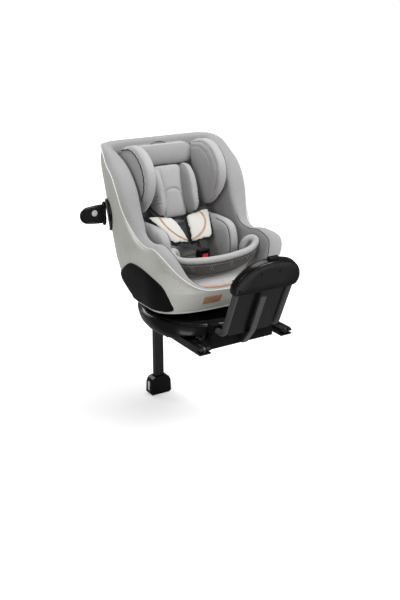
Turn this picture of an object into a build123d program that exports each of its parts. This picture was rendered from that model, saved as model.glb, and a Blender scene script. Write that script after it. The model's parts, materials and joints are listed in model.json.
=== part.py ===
"""Rotating child car seat on an anchored base: base, turntable, reclining tub, headrest and infant insert.

Units are millimetres. The origin is the turntable axis at the underside of the base, +Z is up,
the child faces -Y and the support leg stands on the +Y side. The tub is built as nested layers
that share one outer form: fabric cover, plastic shell and padded liner.
"""
from build123d import *
from math import cos, hypot, radians, sin, sqrt
import os

# Recline: the tub rocks about an axis along X, and its underside is an arc about that axis.
RECLINE_Z = 330.0
BELLY_R = 258.0
RAIL_GAP = 0.5

# Tub form.
TUB_HALF_WIDTH = 222.0
TUB_TOP = 522.0
COVER_T = 3.0
SHELL_T = 4.8
LAYER_GAP = 0.2
SEAT_FLOOR = 119.0
CAVITY_HALF_LOW = 150.0
CAVITY_HALF_HIGH = 168.0

# Back rest plane: a point on it and its lean from the vertical.
BACK_Y = 205.0
BACK_Z = 300.0
BACK_LEAN = 18.0
UP_Y = sin(radians(BACK_LEAN))
UP_Z = cos(radians(BACK_LEAN))

# Base.
BOWL_R = 196.0
BOWL_FOOT_R = 168.0
BOWL_BOTTOM = 28.2
BOWL_TOP = 60.0
SKIRT_R = 156.0
SKIRT_BOTTOM = 7.0
SKIRT_T = 3.0
PLATE_R = 188.0
PLATE_BOTTOM = 60.5
PLATE_TOP = 66.0
SPIGOT_R = 30.0
SPIGOT_GAP = 0.05
TRAY_HALF = 121.5
NOSE_HALF = 106.0
NOSE_FRONT = -213.0
NOSE_TOP = 48.0

# Anchor arms, which grip 6 mm bars set 280 mm apart.
ARM_X = 140.0
ARM_WIDTH = 33.0
ARM_BOTTOM = 3.0
ARM_TOP = 25.0
ARM_FRONT = -240.0
ARM_REAR = 60.0
BAR_Y = -222.0
BAR_Z = 13.7
JAW_R = 3.1
HOOK_WIDTH = 8.0
HOOK_PIVOT_Y = -205.0
HOOK_PIVOT_Z = 19.0
HOOK_PIN_R = 2.0

# Rebound frame: a leaning tube loop with a D-shaped head panel.
TUBE_X = 89.0
TUBE_R = 9.0
TUBE_END_Z = 60.0
TUBE_FOOT_Y = -250.0
PANEL_TOP_Y = -348.0
PANEL_TOP_Z = 290.0
PANEL_T = 24.0

# Support leg.
LEG_Y = 285.0
LEG_PIVOT_Z = -14.0
LEG_WIDTH = 32.0
LEG_DEPTH = 18.0
LEG_WALL = 2.2
LEG_BOTTOM = -290.0
FOOT_TOP = -292.0
FOOT_BOTTOM = -357.0
FOOT_WIDTH = 80.0
FOOT_DEPTH = 34.0

# Side impact pods.
POD_X = 233.0
POD_Y = 180.0
POD_LENGTH = 78.0
POD_HALF_T = 5.6
POD_LOW = 302.0
POD_HIGH = 359.0


def block(x0, x1, y0, y1, z0, z1):
    """Block between two opposite corners."""
    size = Box(x1 - x0, y1 - y0, z1 - z0)
    return Pos((x0 + x1) / 2, (y0 + y1) / 2, (z0 + z1) / 2) * size


def prism_x(points, x0, x1):
    """Polygon of (y, z) points, extruded between two x values."""
    face = Plane.YZ.offset(x0) * make_face(Polyline(*points, close=True))
    return extrude(face, amount=x1 - x0)


def prism_y(points, y0, y1):
    """Polygon of (x, z) points, extruded between two y values."""
    face = Plane.XZ.offset(-y1) * make_face(Polyline(*points, close=True))
    return extrude(face, amount=y1 - y0)


def prism_z(points, z0, z1):
    """Polygon of (x, y) points, extruded between two z values."""
    face = Plane.XY.offset(z0) * make_face(Polyline(*points, close=True))
    return extrude(face, amount=z1 - z0)


def both_sides(half):
    """(x, v) points of a right half, low to high, closed with their mirror image."""
    return half + [(-x, v) for x, v in reversed(half) if x > 0]


def mirrored(part):
    return mirror(part, about=Plane.YZ)


def belly_z(y, radius=BELLY_R):
    """Height of the arc under the tub at a given y."""
    return RECLINE_Z - sqrt(radius ** 2 - y ** 2)


def on_back(s, n):
    """(y, z) of a point s up along the back rest and n in front of it."""
    return (BACK_Y + UP_Y * s - UP_Z * n, BACK_Z + UP_Z * s + UP_Y * n)


def slab(start, end, width, thickness, lift=(0, 0, 1)):
    """Flat bar from start to end; its thickness is square to the run, on the lift side."""
    run = Vector(*end) - Vector(*start)
    across = Vector(*lift).cross(run).normalized()
    normal = run.cross(across).normalized()
    plane = Plane(origin=(Vector(*start) + Vector(*end)) / 2, x_dir=run, z_dir=normal)
    return plane * Box(run.length, width, thickness)


# ---------------------------------------------------------------- tub form

REAR_CONTOUR = [(284, 600), (298, 498), (272, 430), (250, 360), (222, 260), (205, 200), (180, 140)]
FRONT_HALF = [(0, 72), (140, 72), (185, 80), (206, 95), (213, 150), (219, 211),
              (TUB_HALF_WIDTH, 300), (TUB_HALF_WIDTH, 440), (218, 482), (204, 512), (178, TUB_TOP),
               (0, TUB_TOP)]
PLAN_HALF = [(0, -168), (90, -164), (150, -152), (190, -126), (214, -90),
             (TUB_HALF_WIDTH, -40), (TUB_HALF_WIDTH, 350), (0, 350)]
RIM = [(340, 600), (292, 530), (265, 513), (200, 506), (150, 481), (122, 445), (105, 400), (92, 355),
       (75, 312), (45, 270), (0, 262), (-55, 274), (-110, 265), (-145, 243), (-160, 212), (-168, 150)]
FRONT_DIP = [(0, 155), (80, 161), (114, 179), (140, 208), (158, 244), (164, 320)]


def side_form(inset, skirt):
    """Side view of the tub walls, open upwards; the skirt reaches lower at the front."""
    rear_foot = (125, belly_z(125))
    front_y = -100 if skirt else -142
    front_foot = (front_y, belly_z(front_y))
    bottom = ThreePointArc(rear_foot, (0, belly_z(0)), front_foot)
    front = [front_foot] + ([(-130, 90)] if skirt else []) + [(-166, 156), (-174, 200), (-174, 600)]
    rest = Polyline(*front, *REAR_CONTOUR, rear_foot)
    face = make_face(bottom + rest)
    if inset:
        face = offset(face, amount=-inset, kind=Kind.INTERSECTION)
    return extrude(Plane.YZ.offset(-260) * face, amount=520)


def tub(inset, skirt=False):
    """Solid tub form, moved inwards by inset on every wall, cut along the rim line."""
    front = make_face(Polyline(*both_sides(FRONT_HALF), close=True))
    plan = make_face(Polyline(*both_sides(PLAN_HALF), close=True))
    if inset:
        front = offset(front, amount=-inset, kind=Kind.INTERSECTION)
        plan = offset(plan, amount=-inset, kind=Kind.INTERSECTION)
    form = side_form(inset, skirt)
    form &= extrude(Plane.XZ.offset(-400) * front, amount=800)
    form &= extrude(Plane.XY.offset(40) * plan, amount=600)
    below_rim = prism_x(RIM + [(-300, 150), (-300, 0), (400, 0), (400, 600)], -260, 260)
    dip = prism_y(both_sides(FRONT_DIP), -260, -62)
    return (form & below_rim) - dip


def cavity():
    """Space that the padding leaves for the child."""
    back_low = (on_back(-190, 0)[0], SEAT_FLOOR)
    back_high = on_back(420, 0)
    side = [back_low, (-134, SEAT_FLOOR), (-146, 152), (-150, 165), (-400, 165), (-400, back_high[1]),
            back_high]
    front = [(CAVITY_HALF_LOW, 100), (CAVITY_HALF_LOW, 285), (CAVITY_HALF_HIGH, 312),
             (CAVITY_HALF_HIGH, 720)]
    return prism_x(side, -200, 200) & prism_y(both_sides(front), -420, 420)


# ---------------------------------------------------------------- base

def base_tray():
    rear = [(TRAY_HALF, 150), (72, 252), (72, 262), (40, 312)]
    front = [(TRAY_HALF, -121.5), (NOSE_HALF, -121.5), (NOSE_HALF, NOSE_FRONT)]
    outline = both_sides(list(reversed(front)) + rear)
    tray = prism_z(outline, 0, 28)
    tray += block(-NOSE_HALF, NOSE_HALF, NOSE_FRONT, -197, 5, NOSE_TOP)
    tray -= block(-NOSE_HALF - 1, NOSE_HALF + 1, NOSE_FRONT - 1, -190, -1, 5)
    tray -= block(-100, 100, 252, 320, -1, 4)
    return tray - block(-100, 100, -180, 100, 8, 29)


def base_cover():
    """Glossy bowl that carries the turntable, with a curved skirt open for the tray and the anchor arms."""
    bore = SPIGOT_R + SPIGOT_GAP
    floor = Polyline((150, BOWL_BOTTOM), (BOWL_FOOT_R, BOWL_BOTTOM), (BOWL_FOOT_R, 40), (188, 40), (BOWL_R, 57),
                     (BOWL_R - 1, BOWL_TOP), (190, BOWL_TOP), (190, 50), (bore, 50), (bore, 40), (160, 40),
                     (150, 32), close=True)
    outer = ThreePointArc((SKIRT_R, SKIRT_BOTTOM), (182, 28), (BOWL_R, 57))
    inner = ThreePointArc((BOWL_R - 4, 57), (182 - SKIRT_T, 31), (SKIRT_R - 2, SKIRT_BOTTOM + SKIRT_T))
    top_edge = Line((BOWL_R, 57), (BOWL_R - 4, 57))
    foot_edge = Line((SKIRT_R - 2, SKIRT_BOTTOM + SKIRT_T), (SKIRT_R, SKIRT_BOTTOM))
    rim = top_edge + foot_edge
    skirt = revolve(Plane.XZ * make_face(outer + rim + inner), axis=Axis.Z)
    arm_side = ARM_X - ARM_WIDTH / 2 - 0.6
    arm_run = block(arm_side, arm_side + ARM_WIDTH + 1.2, -300, 300, -1, BOWL_BOTTOM)
    skirt -= block(-TRAY_HALF - 0.6, TRAY_HALF + 0.6, -122, 260, -1, BOWL_BOTTOM)
    skirt -= block(-NOSE_HALF - 0.4, NOSE_HALF + 0.4, -260, -100, -1, BOWL_BOTTOM)
    skirt -= arm_run + mirrored(arm_run)
    bowl = revolve(Plane.XZ * make_face(floor), axis=Axis.Z) + skirt
    return bowl - block(-NOSE_HALF - 0.4, NOSE_HALF + 0.4, -260, -196.6, 0, NOSE_TOP + 0.4)


def bearing_ring():
    return Pos(0, 0, 55.2) * (Cylinder(186, 10) - Cylinder(150, 10))


def isofix_guides():
    """Two shallow channels under the bowl that carry the anchor arms."""
    wall = ARM_X + ARM_WIDTH / 2 + 0.6
    guide = block(TRAY_HALF, wall + 3, -60, 60, 0, 2.4)
    guide += block(wall, wall + 3, -60, 60, 0, SKIRT_BOTTOM - 0.4)
    return guide + mirrored(guide)


def rebound_sockets():
    """Two bosses on the nose that take the tube ends of the rebound frame."""
    boss = block(TUBE_X - 14, TUBE_X + 14, -218, -188, 48.6, 76)
    boss -= Pos(TUBE_X, -203, TUBE_END_Z) * (Rot(90, 0, 0) * Cylinder(TUBE_R + 0.06, 60))
    clear_of_tub = Pos(0, 0, 62) * Cylinder(PLATE_R + 12, 40)
    boss -= clear_of_tub
    return boss + mirrored(boss)


def leg_bracket():
    ear = block(17, 23, 266, 304, -28, 3.8)
    ear += block(17, 40, 266, 304, 0.4, 3.8)
    hole = Pos(0, LEG_Y, LEG_PIVOT_Z) * (Rot(0, 90, 0) * Cylinder(4.05, 80))
    return (ear + mirrored(ear)) - hole


def leg_pin():
    pin = Rot(0, 90, 0) * Cylinder(4, 50)
    heads = Pos(24.6, 0, 0) * (Rot(0, 90, 0) * Cylinder(6.5, 2.6))
    return Pos(0, LEG_Y, LEG_PIVOT_Z) * (pin + heads + mirrored(heads))


# ---------------------------------------------------------------- anchor arms

def isofix_arm():
    """Right-hand arm: a bar with a forked jaw, a latch slot and a button pocket."""
    x0 = ARM_X - ARM_WIDTH / 2
    x1 = ARM_X + ARM_WIDTH / 2
    side = [(ARM_REAR, ARM_BOTTOM), (ARM_FRONT + 6, ARM_BOTTOM), (ARM_FRONT, ARM_BOTTOM + 5),
            (ARM_FRONT, ARM_TOP - 4), (ARM_FRONT + 8, ARM_TOP), (ARM_REAR, ARM_TOP)]
    arm = prism_x(side, x0, x1)
    mouth = block(x0 - 1, x1 + 1, ARM_FRONT - 1, BAR_Y, BAR_Z - JAW_R, BAR_Z + JAW_R)
    mouth += Pos(ARM_X, BAR_Y, BAR_Z) * (Rot(0, 90, 0) * Cylinder(JAW_R, ARM_WIDTH + 2))
    slot = HOOK_WIDTH / 2 + 0.3
    arm -= mouth
    arm -= block(ARM_X - slot, ARM_X + slot, ARM_FRONT - 1, -227.6, BAR_Z - 5.5, ARM_TOP + 1)
    arm -= block(ARM_X - slot, ARM_X + slot, -228, -196, 17.4, ARM_TOP + 1)
    arm -= block(ARM_X - slot, ARM_X + slot, -211.6, -196, 10.8, ARM_TOP + 1)
    arm += Pos(ARM_X, HOOK_PIVOT_Y, HOOK_PIVOT_Z) * (Rot(0, 90, 0) * Cylinder(HOOK_PIN_R, ARM_WIDTH))
    return arm - block(ARM_X - 7.3, ARM_X + 7.3, -190.3, -167.7, ARM_TOP - 4, ARM_TOP + 1)


def isofix_hook():
    """Latch plate that closes in front of the anchor bar."""
    half = HOOK_WIDTH / 2
    beam = [(-199, 15), (-199, 24), (-228, 24), (-234, 20), (-234, 11), (-228.5, 11), (-228.5, 18.4),
            (-212, 18.4)]
    hook = prism_x(beam, ARM_X - half, ARM_X + half)
    hook += Pos(ARM_X, HOOK_PIVOT_Y, HOOK_PIVOT_Z) * (Rot(0, 90, 0) * Cylinder(5, HOOK_WIDTH))
    return hook - Pos(ARM_X, HOOK_PIVOT_Y, HOOK_PIVOT_Z) * (Rot(0, 90, 0) * Cylinder(HOOK_PIN_R + 0.05, 20))


def isofix_button():
    return block(ARM_X - 7, ARM_X + 7, -190, -168, ARM_TOP - 1.2, ARM_TOP + 2)


# ---------------------------------------------------------------- rebound frame

TUBE_RUN = hypot(PANEL_TOP_Y - TUBE_FOOT_Y, PANEL_TOP_Z - TUBE_END_Z)
TUBE_UP = ((PANEL_TOP_Y - TUBE_FOOT_Y) / TUBE_RUN, (PANEL_TOP_Z - TUBE_END_Z) / TUBE_RUN)
PANEL_PLANE = Plane(origin=(0, TUBE_FOOT_Y, TUBE_END_Z), x_dir=(1, 0, 0),
                    z_dir=(0, -TUBE_UP[1], TUBE_UP[0]))
PANEL_HALF = 110.0
SCREWS = [(-86, 163), (-30, 212), (30, 212), (86, 163)]
PANEL_FOOT = 146.0
PANEL_CROWN = TUBE_RUN
LOOP_TOP = PANEL_FOOT + 34


def on_panel(sketch, n0, n1):
    """Sketch in (x, height along the tubes), as a plate between two depths in front of the tubes."""
    return extrude(PANEL_PLANE.offset(n0) * sketch, amount=n1 - n0)


def tube_loop(radius):
    top_y = TUBE_FOOT_Y + TUBE_UP[0] * LOOP_TOP
    top_z = TUBE_END_Z + TUBE_UP[1] * LOOP_TOP
    half = [(TUBE_X, -192, TUBE_END_Z), (TUBE_X, TUBE_FOOT_Y, TUBE_END_Z), (TUBE_X, top_y, top_z)]
    path = FilletPolyline(*half, *[(-x, y, z) for x, y, z in reversed(half)], radius=20)
    start = Plane(origin=path @ 0, z_dir=path % 0)
    return sweep(start * Circle(radius), path=path)


def head_outline():
    """D shape: flat foot, short flanks and one wide arch."""
    flank = PANEL_FOOT + 26
    arch = ThreePointArc((PANEL_HALF, flank), (0, PANEL_CROWN), (-PANEL_HALF, flank))
    foot = Polyline((-PANEL_HALF, flank), (-PANEL_HALF + 2, PANEL_FOOT + 4), (-PANEL_HALF + 12, PANEL_FOOT),
                    (PANEL_HALF - 26, PANEL_FOOT), (PANEL_HALF - 12, PANEL_FOOT + 10), (PANEL_HALF, flank))
    return make_face(arch + foot)


def rebound_panel():
    plate = on_panel(head_outline(), -PANEL_T / 2, PANEL_T / 2) - tube_loop(TUBE_R + 0.15)
    button_pocket = on_panel(Pos(0, PANEL_CROWN) * Rectangle(31, 32), -7, 7)
    screw_holes = [on_panel(Pos(x, s) * Circle(3.2), PANEL_T / 2 - 2.2, PANEL_T / 2 + 1) for x, s in SCREWS]
    return plate - button_pocket - screw_holes


def panel_screws():
    heads = [on_panel(Pos(x, s) * Circle(3), PANEL_T / 2 - 2.1, PANEL_T / 2 - 0.6) for x, s in SCREWS]
    return Part() + heads


def rebound_lower_panel():
    half = TUBE_X - TUBE_R - 3
    outline = RectangleRounded(2 * half, PANEL_FOOT + 12, 14)
    return on_panel(Pos(0, PANEL_FOOT / 2 - 6.4) * outline, -8, -1)


def rebound_stay():
    """Flat centre bar from the head panel down to the lower edge of the nose."""
    front = [(-313, 172), (-264, 56), (-226, 9)]
    bar = front + [(-221.5, 9), (-259.5, 57.5), (-308.5, 173.5)]
    return prism_x(bar, -9, 9)


def rebound_button():
    return on_panel(Pos(0, PANEL_CROWN - 1.5) * Rectangle(30, 18), -6, 6)


# ---------------------------------------------------------------- support leg

def leg_outer_tube():
    outer = block(-16, 16, LEG_Y - 9, LEG_Y + 9, LEG_BOTTOM, LEG_PIVOT_Z + 10)
    inner_x = LEG_WIDTH / 2 - LEG_WALL
    inner_y = LEG_DEPTH / 2 - LEG_WALL
    outer -= block(-inner_x, inner_x, LEG_Y - inner_y, LEG_Y + inner_y, LEG_BOTTOM - 1, -34)
    outer -= Pos(0, LEG_Y, LEG_PIVOT_Z) * (Rot(0, 90, 0) * Cylinder(4.06, 60))
    return outer - block(-7.3, 7.3, LEG_Y + 6, LEG_Y + 10, -252.3, -227.7)


def leg_inner_tube():
    x = LEG_WIDTH / 2 - LEG_WALL - 0.3
    y = LEG_DEPTH / 2 - LEG_WALL - 0.3
    return block(-x, x, LEG_Y - y, LEG_Y + y, FOOT_TOP, -60)


def leg_foot():
    half = FOOT_WIDTH / 2
    front = [(0, FOOT_BOTTOM), (half - 7, FOOT_BOTTOM), (half, FOOT_BOTTOM + 7), (half - 2, FOOT_TOP - 20),
             (half - 8, FOOT_TOP - 6), (half - 18, FOOT_TOP), (0, FOOT_TOP)]
    foot = prism_y(both_sides(front), LEG_Y - FOOT_DEPTH / 2, LEG_Y + FOOT_DEPTH / 2)
    return foot - block(-half - 1, -half + 4, LEG_Y - 6.2, LEG_Y + 6.2, -341.2, -308.8)


def foot_window():
    half = FOOT_WIDTH / 2
    return block(-half + 1.6, -half + 3.9, LEG_Y - 6, LEG_Y + 6, -341, -309)


def leg_button():
    return block(-7, 7, LEG_Y + 8.2, LEG_Y + 11, -252, -228)


# ---------------------------------------------------------------- turntable

def turntable_plate():
    disc = Pos(0, 0, (PLATE_BOTTOM + PLATE_TOP) / 2) * Cylinder(PLATE_R, PLATE_TOP - PLATE_BOTTOM)
    spigot = Pos(0, 0, 50.5) * Cylinder(SPIGOT_R, 21)
    return disc + spigot


def recline_rails():
    """Two arc-topped rails that the belly of the tub rocks on."""
    reach = 62.0
    radius = BELLY_R - COVER_T - LAYER_GAP + RAIL_GAP
    edge_z = belly_z(reach, radius)
    top = ThreePointArc((reach, edge_z), (0, belly_z(0, radius)), (-reach, edge_z))
    base = Polyline((-reach, belly_z(reach, radius)), (-reach, PLATE_TOP), (reach, PLATE_TOP),
                    (reach, belly_z(reach, radius)))
    rail = extrude(Plane.YZ.offset(70) * make_face(top + base), amount=20)
    return rail + mirrored(rail)


def recline_handle():
    outline = [(-36, -178), (-30, -194), (30, -194), (36, -178)]
    grip = prism_z(outline, PLATE_TOP + 0.3, PLATE_TOP + 6)
    return grip + block(-18, 18, -179, -150, PLATE_TOP + 0.3, PLATE_TOP + 4)


# ---------------------------------------------------------------- tub layers

def shell_cover():
    skin = tub(0, skirt=True) - tub(COVER_T, skirt=True)
    return skin - block(-192, 192, -126, 160, 40, 104) - block(-300, 300, -300, 300, 40, 87)


def seat_shell():
    return tub(COVER_T + LAYER_GAP) - tub(COVER_T + SHELL_T) - cavity()


def seat_liner():
    return tub(COVER_T + SHELL_T + LAYER_GAP) - cavity() - shoulder_pad(0.6)


def shell_trim():
    """Piping round the lower edge of the cover."""
    skin = tub(-2.6, skirt=True) - tub(-LAYER_GAP, skirt=True)
    ring = skin & block(-300, 300, -300, 70, 87, 93)
    return ring - block(-188, 188, -118, 75, 80, 100)


SHIELD = [(41, 211), (80, 192), (136, 150), (126, 122), (83, 94), (-106, 97), (-114, 153), (-90, 192),
          (-15, 209)]


def side_shields():
    skin = tub(-3) - tub(-LAYER_GAP)
    shield = skin & prism_x(SHIELD, 150, 260)
    shield -= block(150, 260, -300, 71, 80, 93.2)
    return shield + mirrored(shield)


def front_label():
    skin = tub(-1.2, skirt=True) - tub(-LAYER_GAP, skirt=True)
    return skin & block(-90, -32, -260, -100, 115, 141)


def seat_cushion():
    side = [(-133, 119.4), (-144, 150), (-144, 156), (-132, 159.5), (-60, 150), (60, 142), (136, 139),
            (141, 119.4)]
    cushion = prism_x(side, -130, 130)
    return cushion - block(20.7, 39.3, -126.3, -107.7, 150, 165)


def cushion_band():
    strip = [(-143, 156.8), (-132.5, 160.2), (-132.5, 162.2), (-143, 158.8)]
    return prism_x(strip, -114, 114)


# ---------------------------------------------------------------- side pods

def pod_collars():
    """Oval seat on each flank with two knuckles for the pod's pin."""
    collar = prism_x([(150, 300), (158, 284), (180, 280), (206, 288), (216, 318), (214, 350), (198, 370),
                      (174, 368), (156, 346)], 222.2, 226.6)
    for low in (POD_LOW - 8.4, POD_HIGH + 0.4):
        knuckle = block(226, POD_X, POD_Y - 5, POD_Y + 5, low, low + 8)
        knuckle += Pos(POD_X, POD_Y, low + 4) * Cylinder(5, 8)
        collar += knuckle
    collar += Pos(POD_X, POD_Y, (POD_LOW + POD_HIGH) / 2) * Cylinder(2.5, POD_HIGH - POD_LOW + 4)
    return collar + mirrored(collar)


def pod(opened):
    """Right-hand pod. Opened, it points out to the side; closed, it lies back along the flank."""
    mid = (POD_LOW + POD_HIGH) / 2
    tip = POD_LENGTH
    outline = [(0, POD_LOW), (tip - 18, POD_LOW + 3), (tip - 4, POD_LOW + 14), (tip, mid + 2),
               (tip - 4, POD_HIGH - 12), (tip - 20, POD_HIGH - 2), (0, POD_HIGH)]
    plate = prism_y(outline, -POD_HALF_T, POD_HALF_T)
    plate += Pos(0, 0, mid) * Cylinder(POD_HALF_T, POD_HIGH - POD_LOW)
    plate -= Pos(0, 0, mid) * Cylinder(2.56, 200)
    plate -= Pos(34, 0, mid + 6) * (Rot(90, 0, 0) * (Pos(0, 0, 5) * Cylinder(9.3, 6)))
    return Pos(POD_X, POD_Y, 0) * (Rot(0, 0, 0 if opened else 90) * plate)


def pod_button(opened):
    mid = (POD_LOW + POD_HIGH) / 2
    disc = Pos(34, -5.2, mid + 6) * (Rot(90, 0, 0) * Cylinder(9, 2.6))
    return Pos(POD_X, POD_Y, 0) * (Rot(0, 0, 0 if opened else 90) * disc)


# ---------------------------------------------------------------- headrest

def back_block(x0, x1, s0, s1, n0, n1):
    """Block along the back rest: x range, range up the back, range in front of it."""
    return prism_x([on_back(s0, n0), on_back(s1, n0), on_back(s1, n1), on_back(s0, n1)], x0, x1)


def headrest_plate():
    return back_block(-90, 90, -18, 213, 2, 7.8)


def headrest_roll():
    roll = back_block(-94, 94, 142, 205, 8, 34)
    return fillet(roll.edges().filter_by(Axis.X), 10)


def headrest_wing():
    front = [(195, 105), (148, 153), (95, 162), (71, 157), (34, 124), (4, 72), (22, 22), (208, 16)]
    return prism_x([on_back(s, n) for s, n in front], 98, 144)


def headrest_handle():
    return back_block(-26, 26, 214, 226, 2.6, 11)


def head_insert_pad():
    pad = back_block(-41, 41, -22, 138, 10, 34)
    return fillet(pad.edges().filter_by(Axis.X), 8)


def head_insert_wings():
    outline = [(-12, 12), (130, 12), (136, 60), (118, 96), (60, 107), (4, 106), (-12, 88)]
    wing = prism_x([on_back(s, n) for s, n in outline], 42, 70)
    return wing + mirrored(wing)


# ---------------------------------------------------------------- infant insert

def insert_back_pad():
    pad = back_block(-82, 82, -156, -26, 2, 20)
    return fillet(pad.edges().filter_by(Axis.X), 6)


def insert_sides():
    outline = [(12, 150), (0, 200), (6, 268), (28, 290), (150, 296), (193, 296), (150, 152)]
    side = prism_x(outline, 86, 145) - shoulder_pad(0.6)
    side -= collar_form(0.6)
    return side + mirrored(side)


def collar_form(extra=0.0):
    """Curved lip across the front of the insert."""
    front = ThreePointArc((-147, -82 - extra), (0, -104 - extra), (147, -82 - extra))
    rear = ThreePointArc((147, -54 + extra), (0, -78 + extra), (-147, -54 + extra))
    ends = Line((147, -82 - extra), (147, -54 + extra)) + Line((-147, -54 + extra), (-147, -82 - extra))
    plan = extrude(Plane.XY.offset(150) * make_face(front + ends + rear), amount=130)
    face = [(-147, 206), (-100, 182), (0, 170), (100, 182), (147, 206), (147, 260), (100, 234), (0, 226), (-100, 234),
            (-147, 260)]
    return plan & prism_y(face, -120, 0)


# ---------------------------------------------------------------- harness

PAD_TOP = (69, 141, 300)
PAD_END = (36, 64, 238)
PAD_WIDTH = 62.0
BUCKLE_TOP = 220.0
STRAP_END = (11, 10, 238)
STRAP_TOP = (33.4, 61, 236.6)


def shoulder_pad(extra=0.0):
    """Right-hand pad; extra grows it on every side."""
    return slab(PAD_END, PAD_TOP, PAD_WIDTH + 2 * extra, 10 + 2 * extra)


def shoulder_straps():
    """Webbing from each pad's lower end to the buckle tongues."""
    strap = slab(STRAP_END, STRAP_TOP, 18, 2.4)
    return strap + mirrored(strap)


def harness_tongues():
    tongue = block(2, 16, -1.6, 1.6, BUCKLE_TOP + 0.4, BUCKLE_TOP + 22)
    tongue += block(2, 16, -1.6, 8.6, BUCKLE_TOP + 19.8, BUCKLE_TOP + 22)
    tongue -= slab(STRAP_END, STRAP_TOP, 19, 3.6)
    return tongue + mirrored(tongue)


def buckle_body():
    body = fillet(block(-21, 21, -12, 12, BUCKLE_TOP - 36, BUCKLE_TOP).edges().filter_by(Axis.Z), 7)
    return body - block(-9.3, 9.3, -13, -8, BUCKLE_TOP - 21.3, BUCKLE_TOP - 2.7)


def buckle_button():
    return block(-9, 9, -14.5, -11.2, BUCKLE_TOP - 21, BUCKLE_TOP - 3)


def crotch_strap():
    top = BUCKLE_TOP - 36.4
    strap = prism_x([(-2, 143.5), (26, 143.5), (3, top), (-5, top)], -16, 16)
    return strap - seat_cushion()


def adjuster_button():
    return block(21, 39, -126, -108, 155, 162)


def adjuster_strap():
    return prism_x([(-131, 159.8), (-127, 159.3), (-127, 161.3), (-131, 161.8)], 20, 40)


NODES = {
    "base_tray": base_tray(),
    "base_cover": base_cover(),
    "bearing_ring": bearing_ring(),
    "isofix_guides": isofix_guides(),
    "rebound_sockets": rebound_sockets(),
    "leg_bracket": leg_bracket(),
    "leg_pin": leg_pin(),
    "isofix_arm_right": isofix_arm(),
    "isofix_arm_left": mirrored(isofix_arm()),
    "isofix_hook_right": isofix_hook(),
    "isofix_hook_left": mirrored(isofix_hook()),
    "isofix_button_right": isofix_button(),
    "isofix_button_left": mirrored(isofix_button()),
    "rebound_tubes": tube_loop(TUBE_R),
    "rebound_panel": rebound_panel(),
    "rebound_lower_panel": rebound_lower_panel(),
    "rebound_stay": rebound_stay(),
    "panel_screws": panel_screws(),
    "rebound_button": rebound_button(),
    "leg_outer_tube": leg_outer_tube(),
    "leg_inner_tube": leg_inner_tube(),
    "leg_foot": leg_foot(),
    "foot_window": foot_window(),
    "leg_button": leg_button(),
    "turntable_plate": turntable_plate(),
    "recline_rails": recline_rails(),
    "recline_handle": recline_handle(),
    "shell_cover": shell_cover(),
    "seat_shell": seat_shell(),
    "seat_liner": seat_liner(),
    "shell_trim": shell_trim(),
    "side_shields": side_shields(),
    "front_label": front_label(),
    "seat_cushion": seat_cushion(),
    "cushion_band": cushion_band(),
    "pod_collars": pod_collars(),
    "pod_right": pod(False),
    "pod_left": mirrored(pod(True)),
    "pod_button_right": pod_button(False),
    "pod_button_left": mirrored(pod_button(True)),
    "headrest_plate": headrest_plate(),
    "headrest_roll": headrest_roll(),
    "headrest_wing_right": headrest_wing(),
    "headrest_wing_left": mirrored(headrest_wing()),
    "headrest_handle": headrest_handle(),
    "head_insert_pad": head_insert_pad(),
    "head_insert_wings": head_insert_wings(),
    "insert_back_pad": insert_back_pad(),
    "insert_sides": insert_sides(),
    "insert_collar": collar_form(),
    "shoulder_pad_right": shoulder_pad(),
    "shoulder_pad_left": mirrored(shoulder_pad()),
    "shoulder_straps": shoulder_straps(),
    "harness_tongues": harness_tongues(),
    "buckle_body": buckle_body(),
    "buckle_button": buckle_button(),
    "crotch_strap": crotch_strap(),
    "adjuster_button": adjuster_button(),
    "adjuster_strap": adjuster_strap(),
}

os.makedirs("parts", exist_ok=True)
for name, part in NODES.items():
    export_step(part, f"parts/{name}.step")
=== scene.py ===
"""Blender look of the convertible car seat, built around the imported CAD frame. Lengths are in millimetres."""
import json
import math

import bpy
import numpy as np
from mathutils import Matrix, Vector, kdtree


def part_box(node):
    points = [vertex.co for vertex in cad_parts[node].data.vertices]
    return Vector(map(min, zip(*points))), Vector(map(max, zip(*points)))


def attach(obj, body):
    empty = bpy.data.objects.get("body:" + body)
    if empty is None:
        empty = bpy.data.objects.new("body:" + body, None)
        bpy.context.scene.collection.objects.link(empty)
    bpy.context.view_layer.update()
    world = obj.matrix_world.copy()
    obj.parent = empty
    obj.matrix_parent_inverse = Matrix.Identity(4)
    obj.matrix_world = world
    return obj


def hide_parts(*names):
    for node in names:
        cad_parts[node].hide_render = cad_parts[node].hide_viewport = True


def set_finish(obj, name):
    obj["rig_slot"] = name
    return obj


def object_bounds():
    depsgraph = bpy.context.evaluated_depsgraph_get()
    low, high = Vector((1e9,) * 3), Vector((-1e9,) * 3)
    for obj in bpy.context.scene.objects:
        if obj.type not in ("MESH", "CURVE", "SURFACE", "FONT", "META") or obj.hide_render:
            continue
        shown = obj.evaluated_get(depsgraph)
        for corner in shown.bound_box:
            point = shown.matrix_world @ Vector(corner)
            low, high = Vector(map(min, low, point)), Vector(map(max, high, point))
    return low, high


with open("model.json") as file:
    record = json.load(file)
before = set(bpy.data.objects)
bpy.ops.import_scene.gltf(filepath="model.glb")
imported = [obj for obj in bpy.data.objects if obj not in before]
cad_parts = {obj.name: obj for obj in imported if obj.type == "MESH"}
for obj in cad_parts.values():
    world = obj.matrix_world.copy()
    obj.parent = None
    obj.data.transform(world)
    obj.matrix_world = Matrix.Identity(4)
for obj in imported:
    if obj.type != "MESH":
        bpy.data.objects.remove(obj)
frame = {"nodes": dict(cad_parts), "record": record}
cad_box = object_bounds()

MM = 0.001
NODES = frame["nodes"]
SIDES = ((1, "right"), (-1, "left"))

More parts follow.
